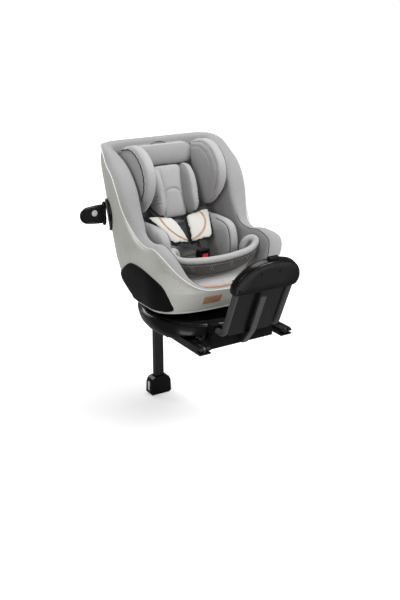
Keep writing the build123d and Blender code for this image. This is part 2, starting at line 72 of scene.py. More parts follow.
# Back rest plane: s runs up it, n stands out in front of it.
LEAN = math.radians(18)
UP = np.array([0.0, math.sin(LEAN), math.cos(LEAN)])
OUT = np.array([0.0, -math.cos(LEAN), math.sin(LEAN)])
BACK = np.array([0.0, 205.0, 300.0])

# Belly arc under the tub, about the recline axis.
RECLINE_Z = 330.0
BELLY_R = 258.0

# Outer skin of the tub by height: half width, rear and front.
WIDTH = [(72, 150), (80, 185), (90, 200), (97, 206), (150, 213), (211, 219), (300, 222), (440, 222),
         (470, 220), (488, 217), (500, 212), (509, 205), (517, 194), (523, 178)]
REAR = [(104, 125), (140, 180), (200, 205), (260, 222), (360, 250), (430, 272), (480, 292), (500, 298),
        (510, 297), (522, 288)]
FRONT = [(90, -130), (156, -166), (200, -173), (530, -174)]
REAR_CORNER = 110.0
FRONT_CORNER_Y = -30.0
REAR_POWER = 3.2
FRONT_POWER = 2.7
WAIST_DEPTH = 16.0


# ---- curves

def curve_at(points, where):
    """Catmull-Rom curve through the points, read at the given indices, whole or between."""
    p = np.array(points, float)
    ends = [2 * p[0] - p[1], *p, 2 * p[-1] - p[-2]]
    ext = np.array(ends)
    where = np.atleast_1d(np.array(where, float))
    i = np.clip(where.astype(int), 0, len(p) - 2)
    t = (where - i)[:, None]
    a, b, c, d = ext[i], ext[i + 1], ext[i + 2], ext[i + 3]
    square = (2 * a - 5 * b + 4 * c - d) * t ** 2
    cube = (3 * b - a - 3 * c + d) * t ** 3
    return 0.5 * (2 * b + (c - a) * t + square + cube)


def length_along(points):
    steps = np.linalg.norm(np.diff(points, axis=0), axis=1)
    return np.concatenate([[0.0], np.cumsum(steps)])


def even_indices(points, count):
    """Indices on the curve through the points that are evenly spaced along its length."""
    fine = np.linspace(0, len(points) - 1, 40 * len(points))
    run = length_along(curve_at(points, fine))
    return np.interp(np.linspace(0, run[-1], count), run, fine)


def even(points, count):
    return curve_at(points, even_indices(points, count))


def spread_round(path, count):
    """Evenly spaced points of a closed path whose last point is its first."""
    run = length_along(path)
    spots = np.linspace(0, run[-1], count, endpoint=False)
    return np.column_stack([np.interp(spots, run, axis) for axis in path.T])


def even_loop(points, count):
    """Closed smooth curve through the points, evenly spaced."""
    p = np.array(points, float)
    wrapped = np.vstack([p[-2:], p, p[:3]])
    return spread_round(curve_at(wrapped, np.linspace(2, len(p) + 2, 30 * len(p) + 1)), count)


def rounded_polygon(points, radius, count):
    """Closed polygon with rounded corners, evenly spaced."""
    p = np.array(points, float)
    path = []
    for i, corner in enumerate(p):
        before = p[i - 1] - corner
        after = p[(i + 1) % len(p)] - corner
        cut = min(radius, 0.45 * np.linalg.norm(before), 0.45 * np.linalg.norm(after))
        start = corner + cut * before / np.linalg.norm(before)
        end = corner + cut * after / np.linalg.norm(after)
        for t in np.linspace(0, 1, 9):
            path.append((1 - t) ** 2 * start + 2 * t * (1 - t) * corner + t ** 2 * end)
    path.append(path[0])
    return spread_round(np.array(path), count)


def full_turn(count):
    """Evenly spaced angles round a circle."""
    return np.linspace(0, 2 * math.pi, count, endpoint=False)


def squared(value, power):
    """Power of a cosine or sine with its sign kept: below 1 it squares a circle off."""
    return math.copysign(abs(value) ** power, value)


def ease(t):
    """Smooth step from 0 to 1."""
    t = np.clip(t, 0, 1)
    return t * t * (3 - 2 * t)


def soften(values, reach, ends):
    """Running mean over reach values to each side; ends tells how the row is padded."""
    width = 2 * reach + 1
    return np.convolve(np.pad(values, reach, mode=ends), np.ones(width) / width, mode="valid")


def on_back(x, s, n):
    """Point of the back rest frame."""
    return BACK + np.array([x, 0.0, 0.0]) + s * UP + n * OUT


def mirrored(points):
    """The same points on the other side of the seat."""
    return np.array(points) * [-1, 1, 1]


def both_halves(half):
    """A right half that starts and ends on the centre plane, closed with its mirror image."""
    half = np.array(half)
    return np.concatenate([half, mirrored(half[1:-1][::-1])])


# ---- meshes

def piece(name, points, faces, body, look, replaces=(), slot=None):
    """New mesh object that rides on a CAD body and wears one of the LOOKS."""
    data = bpy.data.meshes.new(name)
    data.from_pydata([tuple(p) for p in np.array(points) * MM], [], faces)
    data.validate()
    data.polygons.foreach_set("use_smooth", [True] * len(data.polygons))
    data.materials.append(LOOKS[look])
    obj = bpy.data.objects.new(name, data)
    bpy.context.collection.objects.link(obj)
    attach(obj, body)
    if replaces:
        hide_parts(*replaces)
    if slot:
        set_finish(obj, slot)
    return obj


def grid_faces(rows, columns, wrap_rows=False, wrap_columns=False):
    """Quads of a grid whose points are stored row by row."""
    faces = []
    for r in range(rows if wrap_rows else rows - 1):
        for c in range(columns if wrap_columns else columns - 1):
            r2 = (r + 1) % rows
            c2 = (c + 1) % columns
            faces.append((r * columns + c, r * columns + c2, r2 * columns + c2, r2 * columns + c))
    return faces


def loft(name, rows, body, look, closed=False, ring=True, caps=True, **more):
    """Skin through rows of points. ring closes each row; closed joins the last row to the first."""
    rows = np.array(rows)
    count, width = rows.shape[:2]
    points = rows.reshape(-1, 3)
    faces = grid_faces(count, width, wrap_rows=closed, wrap_columns=ring)
    if caps and ring and not closed:
        points = np.vstack([points, rows[0].mean(axis=0), rows[-1].mean(axis=0)])
        first, last = len(points) - 2, len(points) - 1
        base = (count - 1) * width
        for c in range(width):
            c2 = (c + 1) % width
            faces.append((c2, c, first))
            faces.append((base + c, base + c2, last))
    return piece(name, points, faces, body, look, **more)


def frames_along(path, closed=False):
    """Unit tangent and two normals at each point of a path, without twist."""
    path = np.array(path, float)
    if closed:
        tangent = np.roll(path, -1, axis=0) - np.roll(path, 1, axis=0)
    else:
        tangent = np.gradient(path, axis=0)
    tangent /= np.linalg.norm(tangent, axis=1)[:, None]
    side = np.cross(tangent[0], [0.3, 0.2, 1.0])
    sides = []
    for t in tangent:
        side = side - t * side.dot(t)
        side /= np.linalg.norm(side)
        sides.append(side)
    sides = np.array(sides)
    return tangent, sides, np.cross(tangent, sides)


def tube(name, path, radius, body, look, closed=False, sides=10, **more):
    """Round tube along a path; radius is one number or one per point."""
    path = np.array(path, float)
    radius = np.broadcast_to(np.array(radius, float), len(path))
    _, a, b = frames_along(path, closed)
    angle = full_turn(sides)
    rows = [p + r * (np.outer(np.cos(angle), u) + np.outer(np.sin(angle), v))
            for p, r, u, v in zip(path, radius, a, b)]
    return loft(name, rows, body, look, closed=closed, **more)


def strap(name, path, across, width, thickness, body, look, ribs=0, **more):
    """Flat webbing along a path; across is its width direction at each point. Ribs run along it."""
    path = np.array(path, float)
    across = np.broadcast_to(np.array(across, float), path.shape)
    across = across / np.linalg.norm(across, axis=1)[:, None]
    tangent = np.gradient(path, axis=0)
    up = np.cross(tangent, across)
    up /= np.linalg.norm(up, axis=1)[:, None]
    spots = np.linspace(-1, 1, 4 * ribs + 9)
    ripple = 0.25 * thickness * np.cos(spots * math.pi * ribs) if ribs else 0 * spots
    edge = np.sqrt(np.clip(1 - spots ** 16, 0, 1))
    height = np.concatenate([(thickness / 2 + ripple) * edge, -(thickness / 2 + ripple[::-1]) * edge[::-1]])
    spread = np.concatenate([spots, spots[::-1]]) * width / 2
    rows = [p + np.outer(spread, a) + np.outer(height, u) for p, a, u in zip(path, across, up)]
    return loft(name, rows, body, look, **more)


def pillow(name, outline, place, half_thickness, body, look, rings=9, power=2.6, **more):
    """Closed pad from a flat outline. place(u, v, h) gives the point, h off the pad's middle sheet."""
    outline = np.array(outline, float)
    centre = outline.mean(axis=0)
    turns = np.linspace(0, math.pi / 2, rings + 1)[1:]
    scale = np.sin(turns) ** (2 / power)
    height = np.cos(turns) ** (2 / power) * half_thickness
    height[-1] = 0
    points = []
    for sign, order in ((1, range(rings)), (-1, range(rings - 2, -1, -1))):
        for k in order:
            flat = centre + scale[k] * (outline - centre)
            points += [place(u, v, sign * height[k]) for u, v in flat]
    width = len(outline)
    rows = 2 * rings - 1
    faces = grid_faces(rows, width, wrap_columns=True)
    points.append(place(*centre, half_thickness))
    points.append(place(*centre, -half_thickness))
    top, bottom = rows * width, rows * width + 1
    last = (rows - 1) * width
    for c in range(width):
        c2 = (c + 1) % width
        faces.append((c2, c, top))
        faces.append((last + c, last + c2, bottom))
    return piece(name, points, faces, body, look, **more)


def coords(obj):
    flat = np.empty(3 * len(obj.data.vertices))
    obj.data.vertices.foreach_get("co", flat)
    return flat.reshape(-1, 3)


def set_coords(obj, points):
    obj.data.vertices.foreach_set("co", np.array(points).ravel())
    obj.data.update()


def apply_modifiers(obj):
    """Bakes every modifier into the mesh and keeps the materials."""
    graph = bpy.context.evaluated_depsgraph_get()
    baked = bpy.data.meshes.new_from_object(obj.evaluated_get(graph))
    old = obj.data
    obj.modifiers.clear()
    obj.data = baked
    bpy.data.meshes.remove(old)
    smooth_all(obj)


def smooth_all(obj):
    obj.data.polygons.foreach_set("use_smooth", [True] * len(obj.data.polygons))
    obj.data.update()


PUFF_FRAMES = 20
PUFF_PRESSURE = 4.0


def puff(obj, cap, voxel=5.0):
    """Blows a pad up as cloth; no point moves further than cap."""
    remesh = obj.modifiers.new("remesh", "REMESH")
    remesh.mode = "VOXEL"
    remesh.voxel_size = voxel * MM
    apply_modifiers(obj)
    before = coords(obj)
    cloth = obj.modifiers.new("cloth", "CLOTH")
    cloth.settings.quality = 4
    cloth.settings.use_pressure = True
    cloth.settings.uniform_pressure_force = PUFF_PRESSURE
    cloth.settings.effector_weights.gravity = 0
    cloth.settings.tension_stiffness = 12
    cloth.settings.bending_stiffness = 0.6
    scene = bpy.context.scene
    for step in range(1, PUFF_FRAMES + 1):
        scene.frame_set(step)
    graph = bpy.context.evaluated_depsgraph_get()
    after = coords(obj.evaluated_get(graph))
    obj.modifiers.clear()
    scene.frame_set(1)
    move = after - before
    far = np.linalg.norm(move, axis=1)[:, None]
    set_coords(obj, before + move * np.minimum(1, cap * MM / np.maximum(far, 1e-9)))
    relax = obj.modifiers.new("relax", "SMOOTH")
    relax.iterations = 3
    relax.factor = 0.5
    subdivide = obj.modifiers.new("subdivide", "SUBSURF")
    subdivide.levels = 1
    subdivide.render_levels = 1
    apply_modifiers(obj)


def copy_mirrored(obj, name, body, replaces=()):
    """A finished piece again, on the other side of the seat."""
    data = obj.data.copy()
    data.name = name
    twin = bpy.data.objects.new(name, data)
    bpy.context.collection.objects.link(twin)
    set_coords(twin, coords(twin) * [-1, 1, 1])
    data.flip_normals()
    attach(twin, body)
    if replaces:
        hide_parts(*replaces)
    if "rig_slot" in obj:
        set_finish(twin, obj["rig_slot"])
    return twin


def on_surface(obj, path, lift=0.0):
    """The path laid onto the nearest surface of a piece."""
    laid = []
    for p in np.array(path, float):
        _, spot, normal, _ = obj.closest_point_on_mesh(Vector(p * MM))
        laid.append(np.array(spot) / MM + lift * np.array(normal))
    return np.array(laid)


def groove(obj, path, depth, width):
    """Presses a sewn channel into a piece along a path."""
    tree = kdtree.KDTree(len(path))
    for i, p in enumerate(path):
        tree.insert(Vector(np.array(p) * MM), i)
    tree.balance()
    points = coords(obj)
    for i, vertex in enumerate(obj.data.vertices):
        _, _, gap = tree.find(vertex.co)
        t = gap / (width * MM)
        if t < 1:
            points[i] -= np.array(vertex.normal) * depth * MM * (1 - t * t) ** 2
    set_coords(obj, points)


THREAD_R = 0.45


def stitches(name, path, dash=5.0, gap=2.2):
    """Row of short threads on the seat along a path."""
    path = np.array(path, float)
    run = length_along(path)
    points, faces = [], []
    start = 0.0
    while start + dash < run[-1]:
        spots = np.linspace(start, start + dash, 4)
        line = np.column_stack([np.interp(spots, run, path[:, k]) for k in range(3)])
        _, a, b = frames_along(line)
        base = len(points)
        for p, u, v, r in zip(line, a, b, (0.4, 1, 1, 0.4)):
            for turn in full_turn(5):
                points.append(p + THREAD_R * r * (math.cos(turn) * u + math.sin(turn) * v))
        faces += [tuple(base + i for i in face) for face in grid_faces(4, 5, wrap_columns=True)]
        start += dash + gap
    piece(name, points, faces, "seat", "thread")


# ---- materials

def new_material(name):
    material = bpy.data.materials.new(name)
    material.use_nodes = True
    tree = material.node_tree
    tree.nodes.clear()
    output = tree.nodes.new("ShaderNodeOutputMaterial")
    shader = tree.nodes.new("ShaderNodeBsdfPrincipled")
    tree.links.new(shader.outputs["BSDF"], output.inputs["Surface"])
    place = tree.nodes.new("ShaderNodeTexCoord")
    return material, tree, shader, place.outputs["Object"]


def scaled(tree, source, scale):
    """Coordinates stretched by a factor on each axis."""
    node = tree.nodes.new("ShaderNodeMapping")
    node.inputs["Scale"].default_value = scale
    tree.links.new(source, node.inputs["Vector"])
    return node.outputs["Vector"]


def noise_of(tree, source, scale, detail=3.0):
    node = tree.nodes.new("ShaderNodeTexNoise")
    node.inputs["Scale"].default_value = scale
    node.inputs["Detail"].default_value = detail
    tree.links.new(source, node.inputs["Vector"])
    return node.outputs["Fac"]


def bands_of(tree, source, period, axis="X", distort=0.0):
    """Stripes with the given period in millimetres."""
    node = tree.nodes.new("ShaderNodeTexWave")
    node.bands_direction = axis
    node.inputs["Scale"].default_value = 2 * math.pi / (20 * period * MM)
    node.inputs["Distortion"].default_value = distort
    node.inputs["Detail"].default_value = 1.0
    tree.links.new(source, node.inputs["Vector"])
    return node.outputs["Fac"]


def ramp_of(tree, source, low, high, colours):
    """Colour that goes from the first to the last of colours as source goes from low to high."""
    node = tree.nodes.new("ShaderNodeValToRGB")
    node.color_ramp.elements[0].position = low
    node.color_ramp.elements[1].position = high
    node.color_ramp.elements[0].color = (*colours[0], 1)
    node.color_ramp.elements[1].color = (*colours[1], 1)
    tree.links.new(source, node.inputs["Fac"])
    return node.outputs["Color"]


def maths(tree, kind, a, b):
    node = tree.nodes.new("ShaderNodeMath")
    node.operation = kind
    for socket, value in zip(node.inputs, (a, b)):
        if isinstance(value, (int, float)):
            socket.default_value = value
        else:
            tree.links.new(value, socket)
    return node.outputs["Value"]


def blend_of(tree, factor, a, b):
    """Mix of two colours."""
    node = tree.nodes.new("ShaderNodeMix")
    node.data_type = "RGBA"
    for socket, value in ((node.inputs[0], factor), (node.inputs[6], a), (node.inputs[7], b)):
        if isinstance(value, (int, float)):
            socket.default_value = value
        elif isinstance(value, tuple):
            socket.default_value = (*value, 1)
        else:
            tree.links.new(value, socket)
    return node.outputs[2]


def bump_of(tree, shader, height, depth):
    """Relief of the given depth in millimetres."""
    node = tree.nodes.new("ShaderNodeBump")
    node.inputs["Distance"].default_value = depth * MM
    node.inputs["Strength"].default_value = 1.0
    tree.links.new(height, node.inputs["Height"])
    tree.links.new(node.outputs["Normal"], shader.inputs["Normal"])


def shade(colour, factor):
    return tuple(c * factor for c in colour)


def fabric(name, colour, fleck=0.12, thread=1.3, relief=0.16, sheen=0.25, rib=None):
    """Knitted or woven cloth: crossed threads, flecks of lighter and darker yarn and a soft sheen."""
    material, tree, shader, place = new_material(name)
    yarn = noise_of(tree, scaled(tree, place, (1, 1, 0.4)), 420, 2)
    cloud = noise_of(tree, place, 14, 2)
    colours = (shade(colour, 1 - fleck), shade(colour, 1 + fleck))
    base = ramp_of(tree, yarn, 0.36, 0.64, colours)
    base = blend_of(tree, maths(tree, "MULTIPLY", cloud, 0.22), base, shade(colour, 0.8))
    tree.links.new(base, shader.inputs["Base Color"])
    weave = maths(tree, "MULTIPLY", bands_of(tree, place, thread, "DIAGONAL", 0.6),
                  bands_of(tree, scaled(tree, place, (-1, 1, 1)), thread, "DIAGONAL", 0.6))
    height = maths(tree, "ADD", weave, maths(tree, "MULTIPLY", yarn, 0.7))
    if rib:
        period, axis = rib
        line = maths(tree, "POWER", bands_of(tree, place, period, axis, 0.35), 0.35)
        height = maths(tree, "ADD", height, maths(tree, "MULTIPLY", line, 3.0))
    bump_of(tree, shader, height, relief)
    shader.inputs["Roughness"].default_value = 0.88
    shader.inputs["Specular IOR Level"].default_value = 0.25
    shader.inputs["Sheen Weight"].default_value = sheen
    shader.inputs["Sheen Roughness"].default_value = 0.5
    return material


def webbing(name, colour):
    """Ribbed polyester tape."""
    material, tree, shader, place = new_material(name)
    thread = bands_of(tree, place, 1.6, "DIAGONAL")
    yarn = noise_of(tree, place, 600, 2)
    base = ramp_of(tree, yarn, 0.3, 0.7, (shade(colour, 0.7), shade(colour, 1.4)))
    tree.links.new(base, shader.inputs["Base Color"])
    bump_of(tree, shader, maths(tree, "ADD", thread, yarn), 0.2)
    shader.inputs["Roughness"].default_value = 0.7
    shader.inputs["Specular IOR Level"].default_value = 0.15
    return material


def leather(name, colour):
    """Leatherette with a fine pebble grain."""
    material, tree, shader, place = new_material(name)
    cell = tree.nodes.new("ShaderNodeTexVoronoi")
    cell.inputs["Scale"].default_value = 900
    tree.links.new(place, cell.inputs["Vector"])
    cloud = noise_of(tree, place, 60, 3)
    base = ramp_of(tree, cloud, 0.35, 0.7, (shade(colour, 0.82), shade(colour, 1.15)))
    tree.links.new(base, shader.inputs["Base Color"])
    bump_of(tree, shader, cell.outputs["Distance"], 0.12)
    shader.inputs["Roughness"].default_value = 0.48
    return material


GRAIN_SCALE = 1400.0
EDGE_WEAR = 0.35


def plastic(name, colour, rough, relief=0.04, coat=0.0, metal=0.0, shine=0.5, index=1.5):
    """Moulded plastic or painted metal: fine grain, uneven gloss and slightly paler edges."""
    material, tree, shader, place = new_material(name)
    cloud = noise_of(tree, place, 24, 4)
    fine = noise_of(tree, place, GRAIN_SCALE, 2)
    geometry = tree.nodes.new("ShaderNodeNewGeometry")
    edge = ramp_of(tree, geometry.outputs["Pointiness"], 0.52, 0.62, ((0, 0, 0), (1, 1, 1)))
    base = ramp_of(tree, cloud, 0.3, 0.75, (shade(colour, 0.9), shade(colour, 1.12)))
    pale = tuple(min(1.0, c * 1.5 + 0.004) for c in colour)
    base = blend_of(tree, maths(tree, "MULTIPLY", edge, EDGE_WEAR), base, pale)
    tree.links.new(base, shader.inputs["Base Color"])
    gloss = maths(tree, "ADD", maths(tree, "MULTIPLY", cloud, 0.12), rough - 0.05)
    tree.links.new(gloss, shader.inputs["Roughness"])
    bump_of(tree, shader, fine, relief)
    shader.inputs["Metallic"].default_value = metal
    shader.inputs["Specular IOR Level"].default_value = shine
    shader.inputs["IOR"].default_value = index
    shader.inputs["Coat Weight"].default_value = coat
    shader.inputs["Coat Roughness"].default_value = 0.06
    return material


CLOTHS = {
    "cover_fabric": dict(colour=(0.44, 0.437, 0.405), fleck=0.07, thread=1.8, relief=0.22),
    "liner_fabric": dict(colour=(0.27, 0.266, 0.266), fleck=0.05),
    "insert_fabric": dict(colour=(0.33, 0.33, 0.33), fleck=0.05),
    "head_fabric": dict(colour=(0.26, 0.257, 0.257), fleck=0.06),
    "wing_fabric": dict(colour=(0.35, 0.345, 0.345), fleck=0.05),
    "cushion_fabric": dict(colour=(0.34, 0.34, 0.33), fleck=0.16, rib=(5.0, "Y")),
    "collar_fabric": dict(colour=(0.045, 0.040, 0.036), fleck=0.12, rib=(2.4, "Z"), relief=0.12),
    "pad_fabric": dict(colour=(0.50, 0.49, 0.46), fleck=0.03),
    "piping_fabric": dict(colour=(0.62, 0.61, 0.58), fleck=0.05),
    "thread": dict(colour=(0.36, 0.35, 0.33), fleck=0.1),
    "backing": dict(colour=(0.006, 0.006, 0.007), fleck=0.1, sheen=0.0),
}
PLASTICS = {
    "gloss_black": dict(colour=(0.003, 0.003, 0.0033), rough=0.2, relief=0.004, coat=0.2, shine=0.4,
                        index=1.38),
    "satin_black": dict(colour=(0.003, 0.003, 0.0033), rough=0.26, relief=0.01, index=1.3),
    "matte_black": dict(colour=(0.003, 0.003, 0.0034), rough=0.42, index=1.2),
    "dark_shell": dict(colour=(0.006, 0.006, 0.0066), rough=0.4, index=1.25),
    "tube_grey": dict(colour=(0.040, 0.040, 0.042), rough=0.36, relief=0.02, shine=0.35),
    "leg_grey": dict(colour=(0.014, 0.014, 0.015), rough=0.34, relief=0.015, shine=0.25),
    "bright_steel": dict(colour=(0.10, 0.10, 0.10), rough=0.34, metal=1.0, relief=0.01),
    "button_grey": dict(colour=(0.30, 0.31, 0.32), rough=0.4),
    "button_red": dict(colour=(0.42, 0.012, 0.014), rough=0.3),
    "window_clear": dict(colour=(0.5, 0.52, 0.51), rough=0.18, coat=0.5),
}
LOOKS = {name: fabric(name, **finish) for name, finish in CLOTHS.items()}
LOOKS.update({name: plastic(name, **finish) for name, finish in PLASTICS.items()})
LOOKS["webbing"] = webbing("webbing", (0.024, 0.024, 0.026))
LOOKS["copper_leather"] = leather("copper_leather", (0.38, 0.20, 0.11))


# ---- tub surface

def table_at(table, z):
    heights, values = zip(*table)
    return np.interp(z, heights, values)


def waist(y, z):
    """How far the flank is drawn in below the front arms."""
    return WAIST_DEPTH * float(ease((z - 210) / 50)) * float(ease((125 - y) / 90))


def skin_at(z, grow):
    """Half width, front and start of the rear corner at height z, on the skin pushed out by grow."""
    flank = table_at(REAR, z) + grow - REAR_CORNER
    return table_at(WIDTH, z) + grow, table_at(FRONT, z) - grow, flank


def skin(q, z, grow=0.0):
    """Point of the skin at height z. q is 0 behind the child, 1 to 2 on the flank, 3 at the front."""
    w, front, flank = skin_at(z, grow)
    if q < 1:
        turn = q * math.pi / 2
        x = w * math.sin(turn) ** (2 / REAR_POWER)
        y = flank + REAR_CORNER * math.cos(turn) ** (2 / REAR_POWER)
    elif q < 2:
        x = w
        y = flank + (FRONT_CORNER_Y - flank) * (q - 1)
    else:
        turn = (q - 2) * math.pi / 2
        x = w * max(0.0, math.cos(turn)) ** (2 / FRONT_POWER)
        y = FRONT_CORNER_Y - (FRONT_CORNER_Y - front) * math.sin(turn) ** (2 / FRONT_POWER)
    return np.array([x * (1 - waist(y, z) / w), y, z])


def flank_x(y, z, grow):
    """Half width of the skin at a given y and height."""
    w, front, flank = skin_at(z, grow)
    if y > flank:
        t = min(1.0, (y - flank) / REAR_CORNER)
        return w * (1 - t ** REAR_POWER) ** (1 / REAR_POWER)
    if y < FRONT_CORNER_Y:
        t = min(1.0, (FRONT_CORNER_Y - y) / (FRONT_CORNER_Y - front))
        return (w - waist(y, z)) * (1 - t ** FRONT_POWER) ** (1 / FRONT_POWER)
    return w - waist(y, z)


def front_y(x, z, grow):
    """y of the skin in front at a given x and height."""
    w, front, _ = skin_at(z, grow)
    t = min(1.0, abs(x) / w)
    return FRONT_CORNER_Y - (FRONT_CORNER_Y - front) * (1 - t ** FRONT_POWER) ** (1 / FRONT_POWER)


def rear_y(x, z, grow):
    """y of the skin behind at a given x and height."""
    w, _, flank = skin_at(z, grow)
    t = min(1.0, abs(x) / w)
    return flank + REAR_CORNER * (1 - t ** REAR_POWER) ** (1 / REAR_POWER)


# Ribs of the padded liner, from the top of the back to the middle of the front edge, right half.
# Each rib runs from the seam with the cover, over the crest of the roll, down the inner wall.
RIBS = [
    [(0, 297, 507), (0, 284, 523), (0, 269, 516), (0, 264, 480), (0, 245, 420), (0, 205, 300)],
    [(90, 297, 507), (90, 284, 523), (90, 269, 516), (90, 264, 480), (90, 245, 420), (90, 205, 300)],
    [(150, 297, 507), (150, 283, 523), (148, 267, 515), (147, 262, 480), (145, 244, 420), (140, 205, 300)],
    [(178, 289, 515), (171, 275, 522), (163, 260, 512), (156, 255, 478), (154, 243, 420), (149, 205, 300)],
    [(191, 273, 518), (181, 261, 521), (168, 249, 508), (158, 248, 475), (155, 240, 420), (151, 204, 298)],
    [(203, 250, 514), (191, 240, 517), (167, 236, 503), (156, 238, 470), (153, 235, 420), (151, 200, 295)],
    [(212, 221, 503), (198, 210, 506), (166, 206, 493), (153, 215, 467), (151, 226, 425), (150, 195, 290)],
    [(220, 185, 473), (201, 173, 480), (165, 170, 474), (152, 182, 457), (150, 210, 418), (150, 188, 280)],
    [(222, 147, 445), (201, 135, 450), (163, 134, 445), (152, 155, 430), (150, 200, 400), (150, 180, 265)],
    [(222, 117, 402), (200, 105, 406), (161, 105, 403), (152, 138, 395), (150, 190, 370), (150, 172, 245)],
    [(217, 95, 352), (195, 83, 356), (160, 87, 354), (152, 122, 350), (150, 175, 330), (149, 160, 220)],
    [(207, 75, 314), (187, 66, 320), (160, 70, 320), (153, 100, 312), (150, 145, 290), (148, 140, 195)],
    [(195, 43, 275), (177, 40, 283), (162, 44, 282), (155, 60, 270), (150, 90, 235), (147, 105, 170)],
    [(194, -2, 264), (177, -2, 273), (163, -2, 271), (156, 3, 250), (151, 20, 205), (147, 40, 140)],
    [(200, -60, 272), (183, -60, 281), (161, -58, 277), (153, -53, 248), (150, -40, 200), (145, -20, 135)],
    [(202, -112, 261), (184, -113, 269), (161, -107, 261), (153, -100, 233), (149, -88, 190), (143, -65, 132)],
    [(187, -139, 235), (172, -136, 242), (150, -126, 234), (144, -118, 208), (141, -110, 172), (136, -93, 128)],
    [(163, -151, 207), (153, -145, 212), (135, -134, 204), (131, -128, 184), (128, -123, 157), (123, -114, 124)],
    [(139, -157, 187), (131, -150, 191), (117, -139, 185), (114, -134, 171), (112, -129, 150), (109, -122, 124)],
    [(112, -162, 171), (106, -154, 175), (96, -144, 171), (94, -140, 161), (93, -136, 148), (92, -128, 124)],
    [(80, -164, 161), (78, -156, 165), (74, -148, 162), (73, -145, 154), (73, -141, 144), (72, -132, 124)],
    [(40, -166, 158), (40, -158, 161), (40, -152, 158), (40, -148, 151), (40, -143, 141), (40, -133, 124)],
    [(0, -166, 156), (0, -158, 159), (0, -153, 156), (0, -149, 150), (0, -144, 140), (0, -134, 124)],
]
HALF_STATIONS = 150
SEAM_RIBS = np.array([rib[0] for rib in RIBS], float)
STATIONS = even_indices(SEAM_RIBS, HALF_STATIONS)
SEAM_HALF = curve_at(SEAM_RIBS, STATIONS)
SEAM_LOOP = both_halves(SEAM_HALF)
ROLL_IN = 22.0
HEM_Z = 90
HEM_RISE = 14
FLOOR_OF_LINER = 119.0


def hem_z(q):
    """Height of the cover's lower edge."""
    return HEM_Z + HEM_RISE * float(ease((1.0 - q) / 0.6))


def seam_positions():
    """q of each seam point: the place on the skin beside it."""
    trial = np.linspace(0, 3, 900)
    found = []
    for x, y, z in SEAM_HALF:
        ring = np.array([skin(q, z)[:2] for q in trial])
        found.append(trial[np.argmin(np.hypot(ring[:, 0] - x, ring[:, 1] - y))])
    soft = soften(np.maximum.accumulate(found), 3, "edge")
    soft[0] = 0
    soft[-1] = 3
    return soft


SEAM_Q = seam_positions()


def cover_column(index, rows):
    """Points from the hem up to the seam; near the seam the fabric rolls in to meet it."""
    q = SEAM_Q[index]
    seam = SEAM_HALF[index]
    low = hem_z(q)
    pull = seam - skin(q, seam[2])
    column = [skin(q, low + 12, -6.5), skin(q, low + 1.5, -5.5), skin(q, low, -2.0)]
    for v in np.linspace(0, 1, rows) ** 0.9:
        z = low + 1.5 + v * (seam[2] - low - 1.5)
        t = np.clip(1 - (seam[2] - z) / ROLL_IN, 0, 1)
        column.append(skin(q, z) + pull * (1 - math.sqrt(1 - t * t)))
    return column


def build_cover():
    """Fabric outside of the tub, from the hem up to the seam."""
    ring = both_halves([cover_column(i, 46) for i in range(HALF_STATIONS)])
    loft("cover", ring, "seat", "cover_fabric", closed=True, ring=False, caps=False,
         replaces=["shell_cover"], slot="cover_fabric")


def build_liner():
    """Padded inside of the tub: over the crest, down the walls and across the seat."""
    cage = np.array(RIBS, float)
    spread = np.array([curve_at(cage[:, k], STATIONS) for k in range(cage.shape[1])])
    down = np.concatenate([np.linspace(0, 2, 15), np.linspace(2, 5, 19)[1:]])
    half = []
    for i in range(HALF_STATIONS):
        rib = curve_at(spread[:, i], down)
        x, y, z = rib[-1]
        middle = max(FLOOR_OF_LINER, BACK[2] + (y - BACK[1]) / math.tan(LEAN))
        inner = [(x * (1 - t), y, z + (middle - z) * ease(t)) for t in np.linspace(0, 1, 9)[1:]]
        half.append(np.vstack([rib, inner]))
    return loft("liner", both_halves(half), "seat", "liner_fabric", closed=True, ring=False, caps=False,
                replaces=["seat_liner"], slot="liner_fabric")


def underside_z(x, y):
    """Plastic belly of the tub: an arc that the rails carry, turned up at the sides."""
    arc = RECLINE_Z - math.sqrt(max(1.0, BELLY_R ** 2 - y ** 2))
    return arc + 20 * float(ease((abs(x) - 140) / 62))


def build_shell():
    """Inner plastic shell: lines the cover's hem and closes the belly."""
    turns = np.linspace(0, 3, 90)
    half = []
    for q in turns:
        low = hem_z(q)
        column = [skin(q, low + 40, -9), skin(q, low + 14, -8)]
        x, y, _ = skin(q, low + 6, -9)
        for t in np.linspace(0, 1, 14):
            a, b = x * (1 - t), y * (1 - t)
            column.append(np.array([a, b, underside_z(a, b)]))
        half.append(column)
    loft("belly_shell", both_halves(half), "seat", "dark_shell", closed=True, ring=False, caps=False,
         replaces=["seat_shell"], slot="dark_shell")


def patch(name, outline, place, profile, body, look, **more):
    """Cap over a surface. place(u, v, lift) gives the point; profile holds (scale from the middle, lift)."""
    outline = np.array(outline, float)
    centre = (outline.min(axis=0) + outline.max(axis=0)) / 2
    rows = []
    for scale, lift in profile:
        flat = centre + scale * (outline - centre)
        rows.append([place(u, v, lift) for u, v in flat])
    loft(name, rows, body, look, **more)


def dome(height, edge=1.0, power=3.0, rings=12):
    """Profile of a low dome whose edge drops into the surface."""
    rings_in = [(1.0, -1.5), (0.997, edge * 0.6), (0.985, edge)]
    for scale in np.linspace(0.96, 0.0, rings):
        rings_in.append((scale, edge + (height - edge) * (1 - scale ** power)))
    return rings_in[:-1] + [(0.01, height)]


def twin_tubes(name, path, radius, body, look):
    """The same thin tube on both sides of the seat."""
    for side, label in SIDES:
        tube(f"{name}_{label}", np.array(path) * [side, 1, 1], radius, body, look, sides=8)


build_cover()
liner = build_liner()
build_shell()

